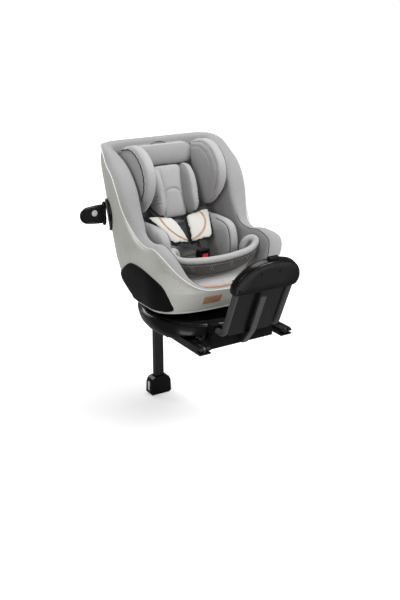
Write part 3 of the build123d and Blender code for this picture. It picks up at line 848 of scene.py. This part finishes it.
# Piping along the seam and round the hem.
tube("seam_piping", SEAM_LOOP + [0, 0, 0.6], 1.5, "seat", "piping_fabric", closed=True, sides=8)
inner_edge = curve_at([rib[2] for rib in RIBS], np.linspace(11.5, 20, 90))
for side, label in SIDES:
    laid = on_surface(liner, inner_edge * [side, 1, 1], 0.2)
    tube(f"liner_seam_{label}", laid, 0.8, "seat", "backing", sides=8)
hem_half = np.array([skin(q, hem_z(q) + 0.5, -0.5) for q in np.linspace(0, 3, 120)])
tube("hem_piping", both_halves(hem_half), 2.6, "seat", "cover_fabric", closed=True, sides=10,
     replaces=["shell_trim"], slot="cover_fabric")


# ---- parts on the skin

SHIELD = [(41, 211), (75, 196), (108, 172), (134, 146), (122, 118), (83, 97), (0, 95), (-70, 95), (-106, 98),
          (-113, 128), (-112, 160), (-98, 184), (-62, 203), (-12, 212)]


def side_place(side):
    """Places on one flank of the tub, by y and height."""
    def place(y, z, lift):
        return np.array([side * flank_x(y, z, lift), y, z])
    return place


def twin_patches(name, outline, profile, look, **more):
    """The same cap on both flanks of the tub."""
    for side, label in SIDES:
        points = outline if side > 0 else outline[::-1]
        patch(f"{name}_{label}", points, side_place(side), profile, "seat", look, **more)


twin_patches("side_shield", even_loop(SHIELD, 120), dome(7.0, edge=3.0), "matte_black",
             replaces=["side_shields"], slot="matte_black")

LABEL = rounded_polygon([(-90, 115), (-32, 115), (-32, 141), (-90, 141)], 3, 72)
patch("front_patch", LABEL, lambda x, z, lift: np.array([x, front_y(x, z, lift), z]),
      [(1.0, -0.5), (0.99, 0.9), (0.95, 1.3), (0.9, 1.0), (0.86, 1.3), (0.5, 1.4), (0.01, 1.4)],
      "seat", "copper_leather", replaces=["front_label"], slot="copper_leather")

REAR_PANEL = rounded_polygon([(-120, 190), (120, 190), (142, 330), (118, 452), (-118, 452), (-142, 330)],
                             46, 120)
patch("rear_panel", REAR_PANEL[::-1], lambda x, z, lift: np.array([x, rear_y(x, z, lift), z]),
      [(1.0, -1.5), (0.99, 2.4), (0.97, 3.2), (0.93, 3.2), (0.92, 1.6), (0.9, 1.6), (0.89, 3.2), (0.7, 3.6),
       (0.69, 2.2), (0.67, 2.2), (0.66, 3.6), (0.3, 4.0), (0.01, 4.0)],
      "seat", "dark_shell")

POD_SEAT = even_loop([(150, 322), (153, 298), (166, 282), (184, 279), (204, 287), (215, 310), (216, 336),
                      (207, 358), (190, 370), (170, 366), (156, 347)], 64)
POD_SEAT_PROFILE = [(1.06, -1.0), (1.05, 3.2), (1.0, 5.2), (0.93, 5.6), (0.87, 4.6), (0.83, 4.5), (0.4, 4.6),
                    (0.01, 4.6)]
twin_patches("pod_seat", POD_SEAT, POD_SEAT_PROFILE, "gloss_black", replaces=["pod_collars"],
             slot="gloss_black")


# ---- side pods

POD_HINGE = (233.0, 180.0)
POD_MIDDLE_Z = 330.5
BARREL_R = 6.2
BARREL_HALF = 37.0


def pod_place(side):
    """u runs from the hinge to the tip, v up, and lift stands off the pod's middle sheet on its face side."""
    def place(u, v, lift):
        if side < 0:
            return np.array([-POD_HINGE[0] - u, POD_HINGE[1] - lift, POD_MIDDLE_Z + v])
        return np.array([POD_HINGE[0] + lift, POD_HINGE[1] + u, POD_MIDDLE_Z + v])
    return place


POD_OUTLINE = even_loop([(-5, 0), (-5, 22), (8, 28), (34, 27), (62, 23), (74, 14), (78, 0), (74, -14),
                         (62, -23), (34, -27), (8, -28), (-5, -22)], 72)
POD_FACE = [(0.97, -5.4), (1.0, -3.0), (1.0, 2.4), (0.985, 4.4), (0.95, 5.4), (0.9, 5.3), (0.86, 4.2),
            (0.84, 3.7), (0.5, 3.7), (0.01, 3.7)]
POD_INNER = [(0.835, 3.2), (0.82, 4.3), (0.78, 4.5), (0.5, 4.8), (0.01, 4.9)]

for side, label in SIDES:
    pod = f"pod_{label}"
    patch(f"{pod}_shell", POD_OUTLINE, pod_place(side), POD_FACE, pod, "gloss_black", replaces=[pod],
          slot="gloss_black")
    patch(f"{pod}_face", POD_OUTLINE, pod_place(side), POD_INNER, pod, "dark_shell")
    spots = np.linspace(-1, 1, 25)
    barrel = [(side * POD_HINGE[0], POD_HINGE[1], POD_MIDDLE_Z + t * BARREL_HALF) for t in spots]
    taper = BARREL_R * np.sqrt(1 - spots ** 8) + 0.2
    tube(f"pod_barrel_{label}", barrel, taper, "seat", "gloss_black", sides=20)


# ---- headrest

def head_place(middle, side=1):
    """Pads that stand on edge beside the head: s up the back, n forward, h across."""
    return lambda s, n, h: on_back(side * (middle + h), s, n)


def flat_place(middle):
    """Pads that lie on the back rest: x across, s up, h forward."""
    return lambda x, s, h: on_back(x, s, middle + h)


HEAD_WING = even_loop([(207, 18), (208, 60), (201, 98), (182, 130), (152, 153), (118, 164), (86, 161),
                       (58, 147), (34, 122), (16, 92), (4, 62), (6, 32), (36, 14), (110, 9), (180, 9)], 110)


# Line along the front of a wing, up the back and forward, where the wing is sewn.
WING_SEAM = [(207, 40), (204, 75), (194, 104), (172, 134), (146, 152), (116, 161), (86, 159), (58, 146),
             (34, 122)]
WING_MIDDLE = (108, 20)
SECOND_SEAM = 0.80


def build_head_wings():
    """Side pads of the headrest, with two sewn channels, piping and a bound outer edge."""
    wing = pillow("head_wing_right", HEAD_WING, head_place(122), 25, "headrest", "wing_fabric",
                  power=3.4, replaces=["headrest_wing_right"], slot="liner_fabric")
    puff(wing, cap=5)
    line = even(WING_SEAM, 90)
    inner = on_surface(wing, [on_back(100, s, n - 3) for s, n in line])
    smaller = WING_MIDDLE + SECOND_SEAM * (line - WING_MIDDLE)
    groove(wing, inner, 1.6, 6)
    groove(wing, on_surface(wing, [on_back(98, s, n) for s, n in smaller]), 1.3, 6)
    copy_mirrored(wing, "head_wing_left", "headrest", replaces=["headrest_wing_left"])
    twin_tubes("head_wing_piping", on_surface(wing, inner, 0.5), 0.9, "headrest", "head_fabric")
    outer = on_surface(wing, [on_back(152, s, n - 8) for s, n in line], 0.8)
    outer[:, 0] += 0.7 * np.sin(np.arange(len(outer)) * 0.9)
    twin_tubes("head_wing_edge", outer, 1.5, "headrest", "liner_fabric")
    twin_tubes("head_wing_binding", outer + [2.4, 1.6, 0], 1.3, "headrest", "backing")


ROLL_HALF_WIDTH = 107
ROLL_HALF_HEIGHT = 33
ROLL_HALF_DEPTH = 15


def build_head_roll():
    rows = []
    turns = full_turn(40)
    for x in np.linspace(-ROLL_HALF_WIDTH, ROLL_HALF_WIDTH, 37):
        shrink = (1 - abs(x / (ROLL_HALF_WIDTH + 2)) ** 10) ** 0.5
        ring = []
        for turn in turns:
            c, s = math.cos(turn), math.sin(turn)
            up = ROLL_HALF_HEIGHT * squared(s, 0.75) * shrink
            forward = ROLL_HALF_DEPTH * squared(c, 0.8) * shrink
            ring.append(on_back(x, 175 + up, 20 + forward))
        rows.append(ring)
    roll = loft("head_roll", rows, "headrest", "head_fabric", replaces=["headrest_roll"],
                slot="insert_fabric")
    puff(roll, cap=4)
    edge = on_surface(roll, [on_back(x, 211, 20) for x in np.linspace(-92, 92, 60)], 0.6)
    tube("head_roll_piping", edge, 1.1, "headrest", "piping_fabric", sides=8)


def build_head_back():
    """Fabric over the headrest's carrier plate, with a sewn pull above the roll."""
    outline = rounded_polygon([(-91, -16), (91, -16), (91, 214), (-91, 214)], 12, 110)
    pillow("head_back", outline, flat_place(5.5), 4.4, "headrest", "liner_fabric", power=6,
           replaces=["headrest_plate"], slot="dark_shell")
    pull = [on_back(x, 219 - 7 * (x / 26) ** 2, 6.8) for x in np.linspace(-26, 26, 30)]
    strap("head_pull", pull, OUT, 7, 3.0, "headrest", "liner_fabric", replaces=["headrest_handle"],
          slot="matte_black")


def build_head_insert():
    """Infant head support: a pad with an arched channel between two small wings."""
    outline = rounded_polygon([(-45, -22), (45, -22), (48, 60), (46, 141), (-46, 141), (-48, 60)], 14, 90)
    pad = pillow("head_pad", outline, flat_place(30), 19, "headrest", "insert_fabric", power=4.0,
                 replaces=["head_insert_pad"], slot="insert_fabric")
    puff(pad, cap=4)
    arch = [(-41, -20), (-42, 16), (-37, 42), (-21, 60), (0, 66), (21, 60), (37, 42), (42, 16), (41, -20)]
    groove(pad, on_surface(pad, [on_back(x, s, 56) for x, s in even(arch, 90)]), 3.2, 7)
    for turn in (-1, 1):
        seam = [on_back(turn * (38 - 8 * t), 56 + 80 * t, 56) for t in np.linspace(0, 1, 50)]
        groove(pad, on_surface(pad, seam), 1.6, 5)
    wing_outline = even_loop([(-16, 46), (-12, 20), (30, 12), (80, 11), (128, 12), (141, 30), (140, 52),
                              (126, 74), (92, 88), (46, 90), (8, 86), (-11, 70)], 90)
    wing = pillow("head_pad_wing_right", wing_outline, head_place(58), 17, "headrest", "insert_fabric",
                  power=2.8, replaces=["head_insert_wings"], slot="insert_fabric")
    puff(wing, cap=4)
    for s in (46, 36, 26):
        run = [on_back(72, s - 4 * t, 14 + 76 * t) for t in np.linspace(0, 1, 60)]
        groove(wing, on_surface(wing, run), 1.8, 5)
    rim = [on_back(44, s, n) for s, n in wing_outline[8:80]]
    piping = on_surface(wing, rim, 0.3)
    copy_mirrored(wing, "head_pad_wing_left", "headrest")
    twin_tubes("head_pad_piping", piping, 0.9, "headrest", "insert_fabric")


build_head_wings()
build_head_roll()
build_head_back()
build_head_insert()


# ---- infant insert

def build_insert():
    """Infant body support: back pad and side bolsters."""
    outline = rounded_polygon([(-80, -152), (80, -152), (82, -90), (78, -28), (-78, -28), (-82, -90)], 16, 90)
    back = pillow("insert_back", outline, flat_place(11), 8, "seat", "insert_fabric", power=3.4,
                  replaces=["insert_back_pad"], slot="insert_fabric")
    puff(back, cap=4)
    for s in (-50, -92):
        groove(back, on_surface(back, [on_back(x, s, 30) for x in np.linspace(-80, 80, 70)]), 2.4, 7)
    flank = even_loop([(12, 156), (3, 184), (1, 220), (5, 254), (18, 280), (44, 293), (90, 296), (140, 295),
                       (182, 292), (186, 272), (168, 215), (150, 158), (80, 152)], 110)
    bolster = pillow("insert_side_right", flank, lambda y, z, h: np.array([116 + h, y, z]), 26, "seat",
                     "insert_fabric", power=3.0, replaces=["insert_sides"], slot="insert_fabric")
    puff(bolster, cap=5)
    front = even([(14, 160), (4, 186), (2, 220), (6, 254), (20, 280), (46, 292), (90, 295)], 80)
    edge = on_surface(bolster, [(97, y, z) for y, z in front])
    groove(bolster, edge, 1.4, 5)
    piping = on_surface(bolster, edge, 0.5)
    copy_mirrored(bolster, "insert_side_left", "seat")
    twin_tubes("insert_piping", piping, 0.9, "seat", "backing")


COLLAR_FRONT = [(0, -92, 224), (50, -90, 225), (90, -85, 228), (118, -79, 232), (137, -73, 241),
                (145, -68, 251)]
COLLAR_CURL = [(141, -60, 257), (133, -53, 257), (122, -47, 250), (114, -42, 235), (110, -38, 215)]
SKIRT_PATH = [(0, -84, 178), (50, -82, 180), (84, -80, 186), (112, -77, 195), (132, -73, 206),
              (141, -69, 217)]
COLLAR_R = 10.5
# Lining behind the roll: how far inward of it and below it.
LINING_FALL = [(6, 0), (14, 22), (22, 56), (30, 84)]


def full_width(half, count):
    """Evenly spaced path from the left end to the right end of a half that starts in the middle."""
    right = [np.array(p, float) for p in half]
    left = [p * [-1, 1, 1] for p in right[:0:-1]]
    return even(left + right, count)


def build_collar():
    """Front lip of the infant support: a roll, the ribbed skirt under it and the lining behind it."""
    path = full_width(COLLAR_FRONT + COLLAR_CURL, 130)
    fade = np.sqrt(np.clip(1 - np.abs(np.linspace(-1, 1, 130)) ** 26, 0.02, 1))
    roll = tube("collar_roll", path, COLLAR_R * fade, "seat", "insert_fabric", sides=20,
                replaces=["insert_collar"], slot="collar_fabric")
    puff(roll, cap=3)
    path = full_width(COLLAR_FRONT, 90)
    low = full_width(SKIRT_PATH, 90)
    outward = np.cross(np.gradient(path, axis=0), [0, 0, 1])
    outward /= np.linalg.norm(outward, axis=1)[:, None]
    outward *= np.sign((outward * [0, -1, 0]).sum(axis=1))[:, None]
    rows = []
    for top, bottom, out in zip(path, low, outward):
        start = top + np.array([0, 0, -6.0]) + 6 * out
        column = []
        for t in np.linspace(0, 1, 11):
            column.append(start + (bottom + 3 * out - start) * t + out * 4.0 * math.sin(math.pi * t))
        for t in np.linspace(1, 0, 7):
            column.append(start - 6 * out + (bottom + 3 * out - start) * t)
        rows.append(column)
    loft("collar_skirt", rows, "seat", "collar_fabric", caps=True, slot="collar_fabric")
    grid = np.array(rows)
    stitches("collar_stitch", (grid[:, 2] + outward * 0.3)[6:-6])
    for k, i in enumerate((16, 34, 54, 72)):
        for shift in (0, 2):
            slant = [grid[i + shift + j // 2, 2 + j] + outward[i] * 0.3 for j in range(6)]
            stitches(f"collar_slant_{k}_{shift}", even(slant, 12), dash=4.0, gap=1.2)
    lining = []
    for top, out in zip(path, outward):
        fall = [top - inward * out - [0, 0, drop] for inward, drop in LINING_FALL]
        lining.append(even(fall, 10))
    loft("insert_lining", lining, "seat", "insert_fabric", ring=False, caps=False)


build_insert()
build_collar()


# ---- seat cushion

CUSHION_TOP = [(-150, 162), (-136, 169), (-104, 167), (-60, 158), (60, 143), (150, 140)]
CUSHION_BOTTOM = 119.5
CUSHION_HALF_WIDTH = 131
CUSHION_HALF_DEPTH = 139
CUSHION_SQUARE = 0.36


def build_cushion():
    plan = []
    for turn in full_turn(120):
        c, s = math.cos(turn), math.sin(turn)
        x = CUSHION_HALF_WIDTH * squared(c, CUSHION_SQUARE)
        y = -3 + CUSHION_HALF_DEPTH * squared(s, CUSHION_SQUARE)
        if y < 0:
            y = y + 0.0011 * x * x * (-y / 142)
        plan.append((x, y))

    def place(x, y, h):
        top = np.interp(y, *zip(*CUSHION_TOP))
        middle = (top + CUSHION_BOTTOM) / 2
        return np.array([x, y, middle + h * (top - CUSHION_BOTTOM) / 2])

    cushion = pillow("cushion", plan, place, 0.92, "seat", "cushion_fabric", rings=14, power=4.5,
                     replaces=["seat_cushion"], slot="cushion_fabric")
    puff(cushion, cap=4)
    band = [(x, -146 + 0.0033 * x * x, 171) for x in np.linspace(-96, 96, 60)]
    laid = on_surface(cushion, band, 0.7)
    across = np.cross(np.gradient(laid, axis=0), [0, -0.55, 0.83])
    strap("copper_band", laid, across, 7.0, 1.6, "seat", "copper_leather", replaces=["cushion_band"],
          slot="copper_leather")
    tab = [laid[0] + [0, dy, 0.9] for dy in np.linspace(-5, 7, 8)]
    strap("copper_tab", tab, [1, 0, 0], 9, 1.8, "seat", "copper_leather")


build_cushion()


# ---- harness

# Corners of the right shoulder pad: outer and inner edge, at its lower and its upper end.
PAD_LOW = np.array([(72.0, 54.0, 240.0), (5.0, 74.0, 233.0)])
PAD_HIGH = np.array([(112.0, 148.0, 308.0), (24.0, 143.0, 297.0)])
PAD_UP = np.cross(PAD_HIGH[1] - PAD_LOW[0], PAD_HIGH[0] - PAD_LOW[1])
PAD_UP /= np.linalg.norm(PAD_UP)
PAD_UP *= np.sign(PAD_UP[2])


def pad_place(base, side):
    """u runs up the pad from 0 to 1, v across it from -1 inside to 1 outside, h off its middle."""
    def place(u, v, h):
        outer = PAD_LOW[0] + (PAD_HIGH[0] - PAD_LOW[0]) * u
        inner = PAD_LOW[1] + (PAD_HIGH[1] - PAD_LOW[1]) * u
        arch = 8 * math.sin(math.pi * min(1.0, max(0.0, u))) - 3.5 * v * v
        spot = (outer + inner) / 2 + (outer - inner) / 2 * v + (base + arch + h) * PAD_UP
        return spot * [side, 1, 1]
    return place


# Copper stripe over a pad, in the pad's own directions, and the webbing under and above the pad.
STRIPE = [(0.99, 0.1), (0.75, 0.36), (0.5, 0.45), (0.26, 0.22), (0.1, -0.3), (0.0, -0.96)]
LOWER_STRAP = [(11, 4, 228), (17, 18, 231), (26, 38, 233), (38, 60, 234), (48, 84, 246)]
UPPER_STRAP = [(66, 136, 300), (70, 150, 312), (72, 170, 322), (72, 196, 330)]
TONGUES_Z = 225.5


def build_harness():
    """Shoulder pads on their backing, webbing, tongues, crotch strap and adjuster strap."""
    leaf = rounded_polygon([(-0.04, -1.0), (0.0, 0.7), (0.1, 1.0), (0.55, 1.0), (1.0, 0.96), (0.98, -1.0),
                            (0.62, -1.06), (0.2, -1.02)], 0.2, 96)
    for side, label in SIDES:
        outline = leaf if side < 0 else leaf[::-1]
        upper = pad_place(3.0, side)
        pad = pillow(f"shoulder_pad_{label}_top", outline, upper, 3.8, "seat", "pad_fabric", power=2.8,
                     replaces=[f"shoulder_pad_{label}"], slot="pad_fabric")
        puff(pad, cap=2, voxel=3.5)
        larger = 1.06 * (outline - outline.mean(axis=0)) + outline.mean(axis=0)
        pillow(f"shoulder_pad_{label}_backing", larger, pad_place(-2.6, side), 3.4, "seat", "backing",
               power=4)
        middle = on_surface(pad, [upper(u, v, 12) for u, v in even(STRIPE, 50)], 0.4)
        normal = PAD_UP * [side, 1, 1]
        across = np.cross(np.gradient(middle, axis=0), normal)
        strap(f"shoulder_stripe_{label}", middle, across, 6.2, 1.1, "seat", "copper_leather")
        hang = even(LOWER_STRAP, 30) * [side, 1, 1]
        wide = np.cross(np.gradient(hang, axis=0), normal)
        wide[:, 2] *= 0.5
        first = strap(f"shoulder_strap_{label}", hang, wide, 25, 2.0, "seat", "webbing", ribs=7)
        if side > 0:
            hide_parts("shoulder_straps")
            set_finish(first, "webbing")
        rise = even(UPPER_STRAP, 24) * [side, 1, 1]
        wide = np.cross(np.gradient(rise, axis=0), [0.2 * side, -0.6, 0.8])
        strap(f"upper_strap_{label}", rise, wide, 30, 2.2, "seat", "webbing", ribs=7)
    crotch = even([(0, -18, 149), (0, -14, 162), (0, -6, 174), (0, 0, 190)], 20)
    strap("crotch_webbing", crotch, [1, 0, 0], 30, 2.2, "seat", "webbing", ribs=6,
          replaces=["crotch_strap"], slot="webbing")
    tongue = even_loop([(-20, -7), (-16, -10), (0, -11), (16, -10), (20, -7), (20, 5), (15, 9), (0, 10),
                        (-15, 9), (-20, 5)], 60)
    pillow("buckle_tongues", tongue, lambda x, y, h: np.array([x, y, TONGUES_Z + h]), 5.2, "seat",
           "matte_black", power=4, replaces=["harness_tongues"], slot="matte_black")
    low, high = (np.array(c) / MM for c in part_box("adjuster_strap"))
    x, y, z = (low + high) / 2
    pull = even([(x, high[1], z + 0.5), (x, y, z), (x, low[1], z - 1.0)], 12)
    strap("adjuster_webbing", pull, [1, 0, 0], high[0] - low[0], 2.0, "seat", "webbing", ribs=4,
          replaces=["adjuster_strap"], slot="webbing")


build_harness()


# ---- base

# Shell over the turntable, from its rim inward: radius and height.
DOME = [(197, 57.5), (193, 61.5), (187, 65.5), (176, 68.4), (160, 69.6), (120, 70), (60, 70)]


def build_dome():
    turns = full_turn(144)
    rows = [[(r * math.cos(a), r * math.sin(a), z) for r, z in even(DOME, 40)] for a in turns]
    loft("turntable_dome", rows, "turntable", "gloss_black", closed=True, ring=False, caps=False)


# Housing round the bowl: circular at the rim, squarer at the foot, by the angle from the front.
HOUSING_ANGLE = [0, 18, 29, 37, 47, 57, 73, 94, 126, 180]
HOUSING_FOOT = [186, 194, 207, 214, 216, 214, 204, 192, 187, 186]
HOUSING_RIM = 197.0
# Rings from the rim to the underside: share of the foot's shape, outward offset and height.
HOUSING_RINGS = [(0, -8, 60.4), (0, -2, 60.4), (0, 0.5, 59), (0.1, 1.5, 55), (0.35, 2.4, 47), (0.65, 2.4, 38),
                 (0.9, 0, 28), (1, -6, 20), (1, -10, 17), (1, -16, 16.4), (1, -30, 17)]
# Openings in the foot for the anchor arms.
OPENING_X = 140
OPENING_HALF = 21
OPENING_TOP = 33
OPENING_EDGE = 7


def build_housing():
    """Glossy outside of the bowl."""
    turns = np.linspace(0, 360, 300, endpoint=False)
    front = np.abs((turns + 180) % 360 - 180)
    degrees = np.linspace(0, 180, 181)
    foot_at = soften(np.interp(degrees, HOUSING_ANGLE, HOUSING_FOOT), 8, "reflect")
    foot = np.interp(front, degrees, foot_at)
    rows = []
    for share, offset, z in HOUSING_RINGS:
        radius = HOUSING_RIM + (foot - HOUSING_RIM) * share + offset
        x = radius * np.sin(np.radians(turns))
        y = -radius * np.cos(np.radians(turns))
        inside = OPENING_HALF + OPENING_EDGE - np.abs(np.abs(x) - OPENING_X)
        height = z + ease(inside / OPENING_EDGE) * max(OPENING_TOP - z, 0)
        rows.append(list(zip(x, y, height)))
    loft("bowl_housing", rows, "base", "gloss_black", caps=False)


build_dome()
build_housing()


# ---- rebound head panel

# The panel stands in the plane of the rebound tubes: s runs up it and n stands out of its front.
PANEL_FOOT = np.array([0.0, -250.0, 60.0])
PANEL_RISE = np.array([0.0, -98.0, 230.0]) / math.hypot(98, 230)
PANEL_OUT = np.array([0.0, -PANEL_RISE[2], PANEL_RISE[1]])
PANEL_OUTLINE = even_loop([(-109, 162), (-108, 184), (-92, 214), (-56, 240), (0, 250), (56, 240), (92, 214),
                           (108, 184), (109, 162), (100, 149), (60, 146), (0, 146), (-60, 146),
                           (-100, 149)], 160)
PANEL_PROFILE = [(0.01, -12), (0.9, -12), (0.96, -11), (0.99, -8.5), (1.0, -5), (1.0, 4), (0.99, 8),
                 (0.97, 10.6), (0.945, 11.8), (0.925, 11.8), (0.91, 11.0), (0.9, 10.2), (0.5, 10.2),
                 (0.01, 10.2)]



def panel_place(x, s, n):
    return PANEL_FOOT + np.array([x, 0.0, 0.0]) + s * PANEL_RISE + n * PANEL_OUT


patch("rebound_head", PANEL_OUTLINE[::-1], panel_place, PANEL_PROFILE, "rebound", "satin_black",
      replaces=["rebound_panel"], slot="satin_black")

# Thin web behind the lower panel that reaches both tubes.
WEB = rounded_polygon([(-87, -8), (87, -8), (87, 150), (-87, 150)], 12, 90)
WEB_BACK = 5.0
pillow("rebound_web", WEB, lambda x, s, n: panel_place(x, s, n - WEB_BACK), 2.2, "rebound",
       "satin_black", power=8)


# ---- carried-over CAD nodes

# Width of the eased edge where it is not the usual one, and round nodes that need none.
USUAL_EDGE = 0.8
SOFT_EDGE = {"leg_foot": 6.0, "rebound_lower_panel": 2.0, "base_tray": 3.0, "buckle_body": 4.0,
             "isofix_arm_left": 1.6, "isofix_arm_right": 1.6, "rebound_stay": 1.0, "leg_outer_tube": 1.8}
ROUND_NODES = ("base_cover", "rebound_tubes", "bearing_ring", "pod_button_left", "pod_button_right")


def finish_node(name, slot_name):
    """CAD node that stays: its edges are eased and it gets the finish of its material slot."""
    node = NODES[name]
    for holder in node.material_slots:
        holder.link = "OBJECT"
        holder.material = LOOKS[slot_name]
    if not node.material_slots:
        node.data.materials.append(LOOKS[slot_name])
    if name in ROUND_NODES:
        return
    ease_edge = node.modifiers.new("ease", "BEVEL")
    ease_edge.width = SOFT_EDGE.get(name, USUAL_EDGE) * MM
    ease_edge.segments = 3
    ease_edge.limit_method = "ANGLE"
    ease_edge.angle_limit = math.radians(35)
    ease_edge.harden_normals = True


def finish_cad():
    for row in frame["record"]["subparts"]:
        if not NODES[row["node"]].hide_render:
            finish_node(row["node"], row["material_slot"])


finish_cad()


# ---- light, floor and camera

# Lengths in this part are in metres.
FLOOR_Z = cad_box[0][2] - 0.0005
LIGHT_AIM = (0, 0, 0.25)


def build_stage():
    bpy.ops.mesh.primitive_plane_add(size=30, location=(0, 0, FLOOR_Z))
    floor = bpy.context.object
    floor.name = "floor"
    material, tree, shader, place = new_material("floor")
    cloud = noise_of(tree, place, 3, 2)
    pale = ramp_of(tree, cloud, 0.3, 0.7, ((0.80, 0.80, 0.80), (0.84, 0.84, 0.84)))
    ray = tree.nodes.new("ShaderNodeLightPath")
    flagged = maths(tree, "MULTIPLY", ray.outputs["Is Glossy Ray"], 0.65)
    tree.links.new(blend_of(tree, flagged, pale, (0.05, 0.05, 0.05)), shader.inputs["Base Color"])
    shader.inputs["Roughness"].default_value = 0.9
    shader.inputs["Specular IOR Level"].default_value = 0.0
    reach = tree.nodes.new("ShaderNodeVectorMath")
    reach.operation = "LENGTH"
    tree.links.new(place, reach.inputs[0])
    far = ramp_of(tree, maths(tree, "MULTIPLY", reach.outputs["Value"], 0.1), 0.05, 0.28,
                  ((0.34, 0.34, 0.34), (1.0, 1.0, 1.0)))
    tree.links.new(far, shader.inputs["Emission Color"])
    tree.links.new(ray.outputs["Is Camera Ray"], shader.inputs["Emission Strength"])
    floor.data.materials.append(material)


def lamp(name, spot, size, power):
    """Soft panel light aimed at the seat."""
    data = bpy.data.lights.new(name, "AREA")
    data.shape = "RECTANGLE"
    data.size, data.size_y = size
    data.energy = power
    obj = bpy.data.objects.new(name, data)
    obj.location = spot
    obj.rotation_euler = (Vector(LIGHT_AIM) - Vector(spot)).to_track_quat("-Z", "Y").to_euler()
    bpy.context.collection.objects.link(obj)


def build_lights():
    world = bpy.data.worlds.new("studio")
    bpy.context.scene.world = world
    world.use_nodes = True
    background = world.node_tree.nodes["Background"]
    background.inputs["Color"].default_value = (1, 1, 1, 1)
    ray = world.node_tree.nodes.new("ShaderNodeLightPath")
    tree = world.node_tree
    seen = maths(tree, "MULTIPLY", ray.outputs["Is Camera Ray"], 0.8)
    mirror = maths(tree, "MULTIPLY", ray.outputs["Is Glossy Ray"], -0.16)
    lit = maths(tree, "ADD", maths(tree, "ADD", seen, mirror), 0.34)
    tree.links.new(lit, background.inputs["Strength"])
    lamp("key", (0.9, -2.2, 2.1), (1.0, 1.0), 72)
    lamp("top", (0.3, 0.1, 2.6), (1.4, 1.4), 46)
    lamp("fill", (-2.3, -1.4, 1.2), (1.4, 1.4), 20)
    lamp("rim", (-0.8, 2.6, 1.6), (1.5, 1.0), 22)


CAMERA_SPOT = (-1.3688, -2.1744, 1.0024)
CAMERA_BACK = (-0.4980, -0.7970, 0.3420)


def build_camera():
    data = bpy.data.cameras.new("camera")
    data.lens = 54
    data.sensor_width = 36
    obj = bpy.data.objects.new("camera", data)
    obj.location = CAMERA_SPOT
    obj.rotation_euler = Vector(CAMERA_BACK).to_track_quat("Z", "Y").to_euler()
    bpy.context.collection.objects.link(obj)
    bpy.context.scene.camera = obj


build_stage()
build_lights()
build_camera()
bpy.context.scene.view_settings.view_transform = "Standard"
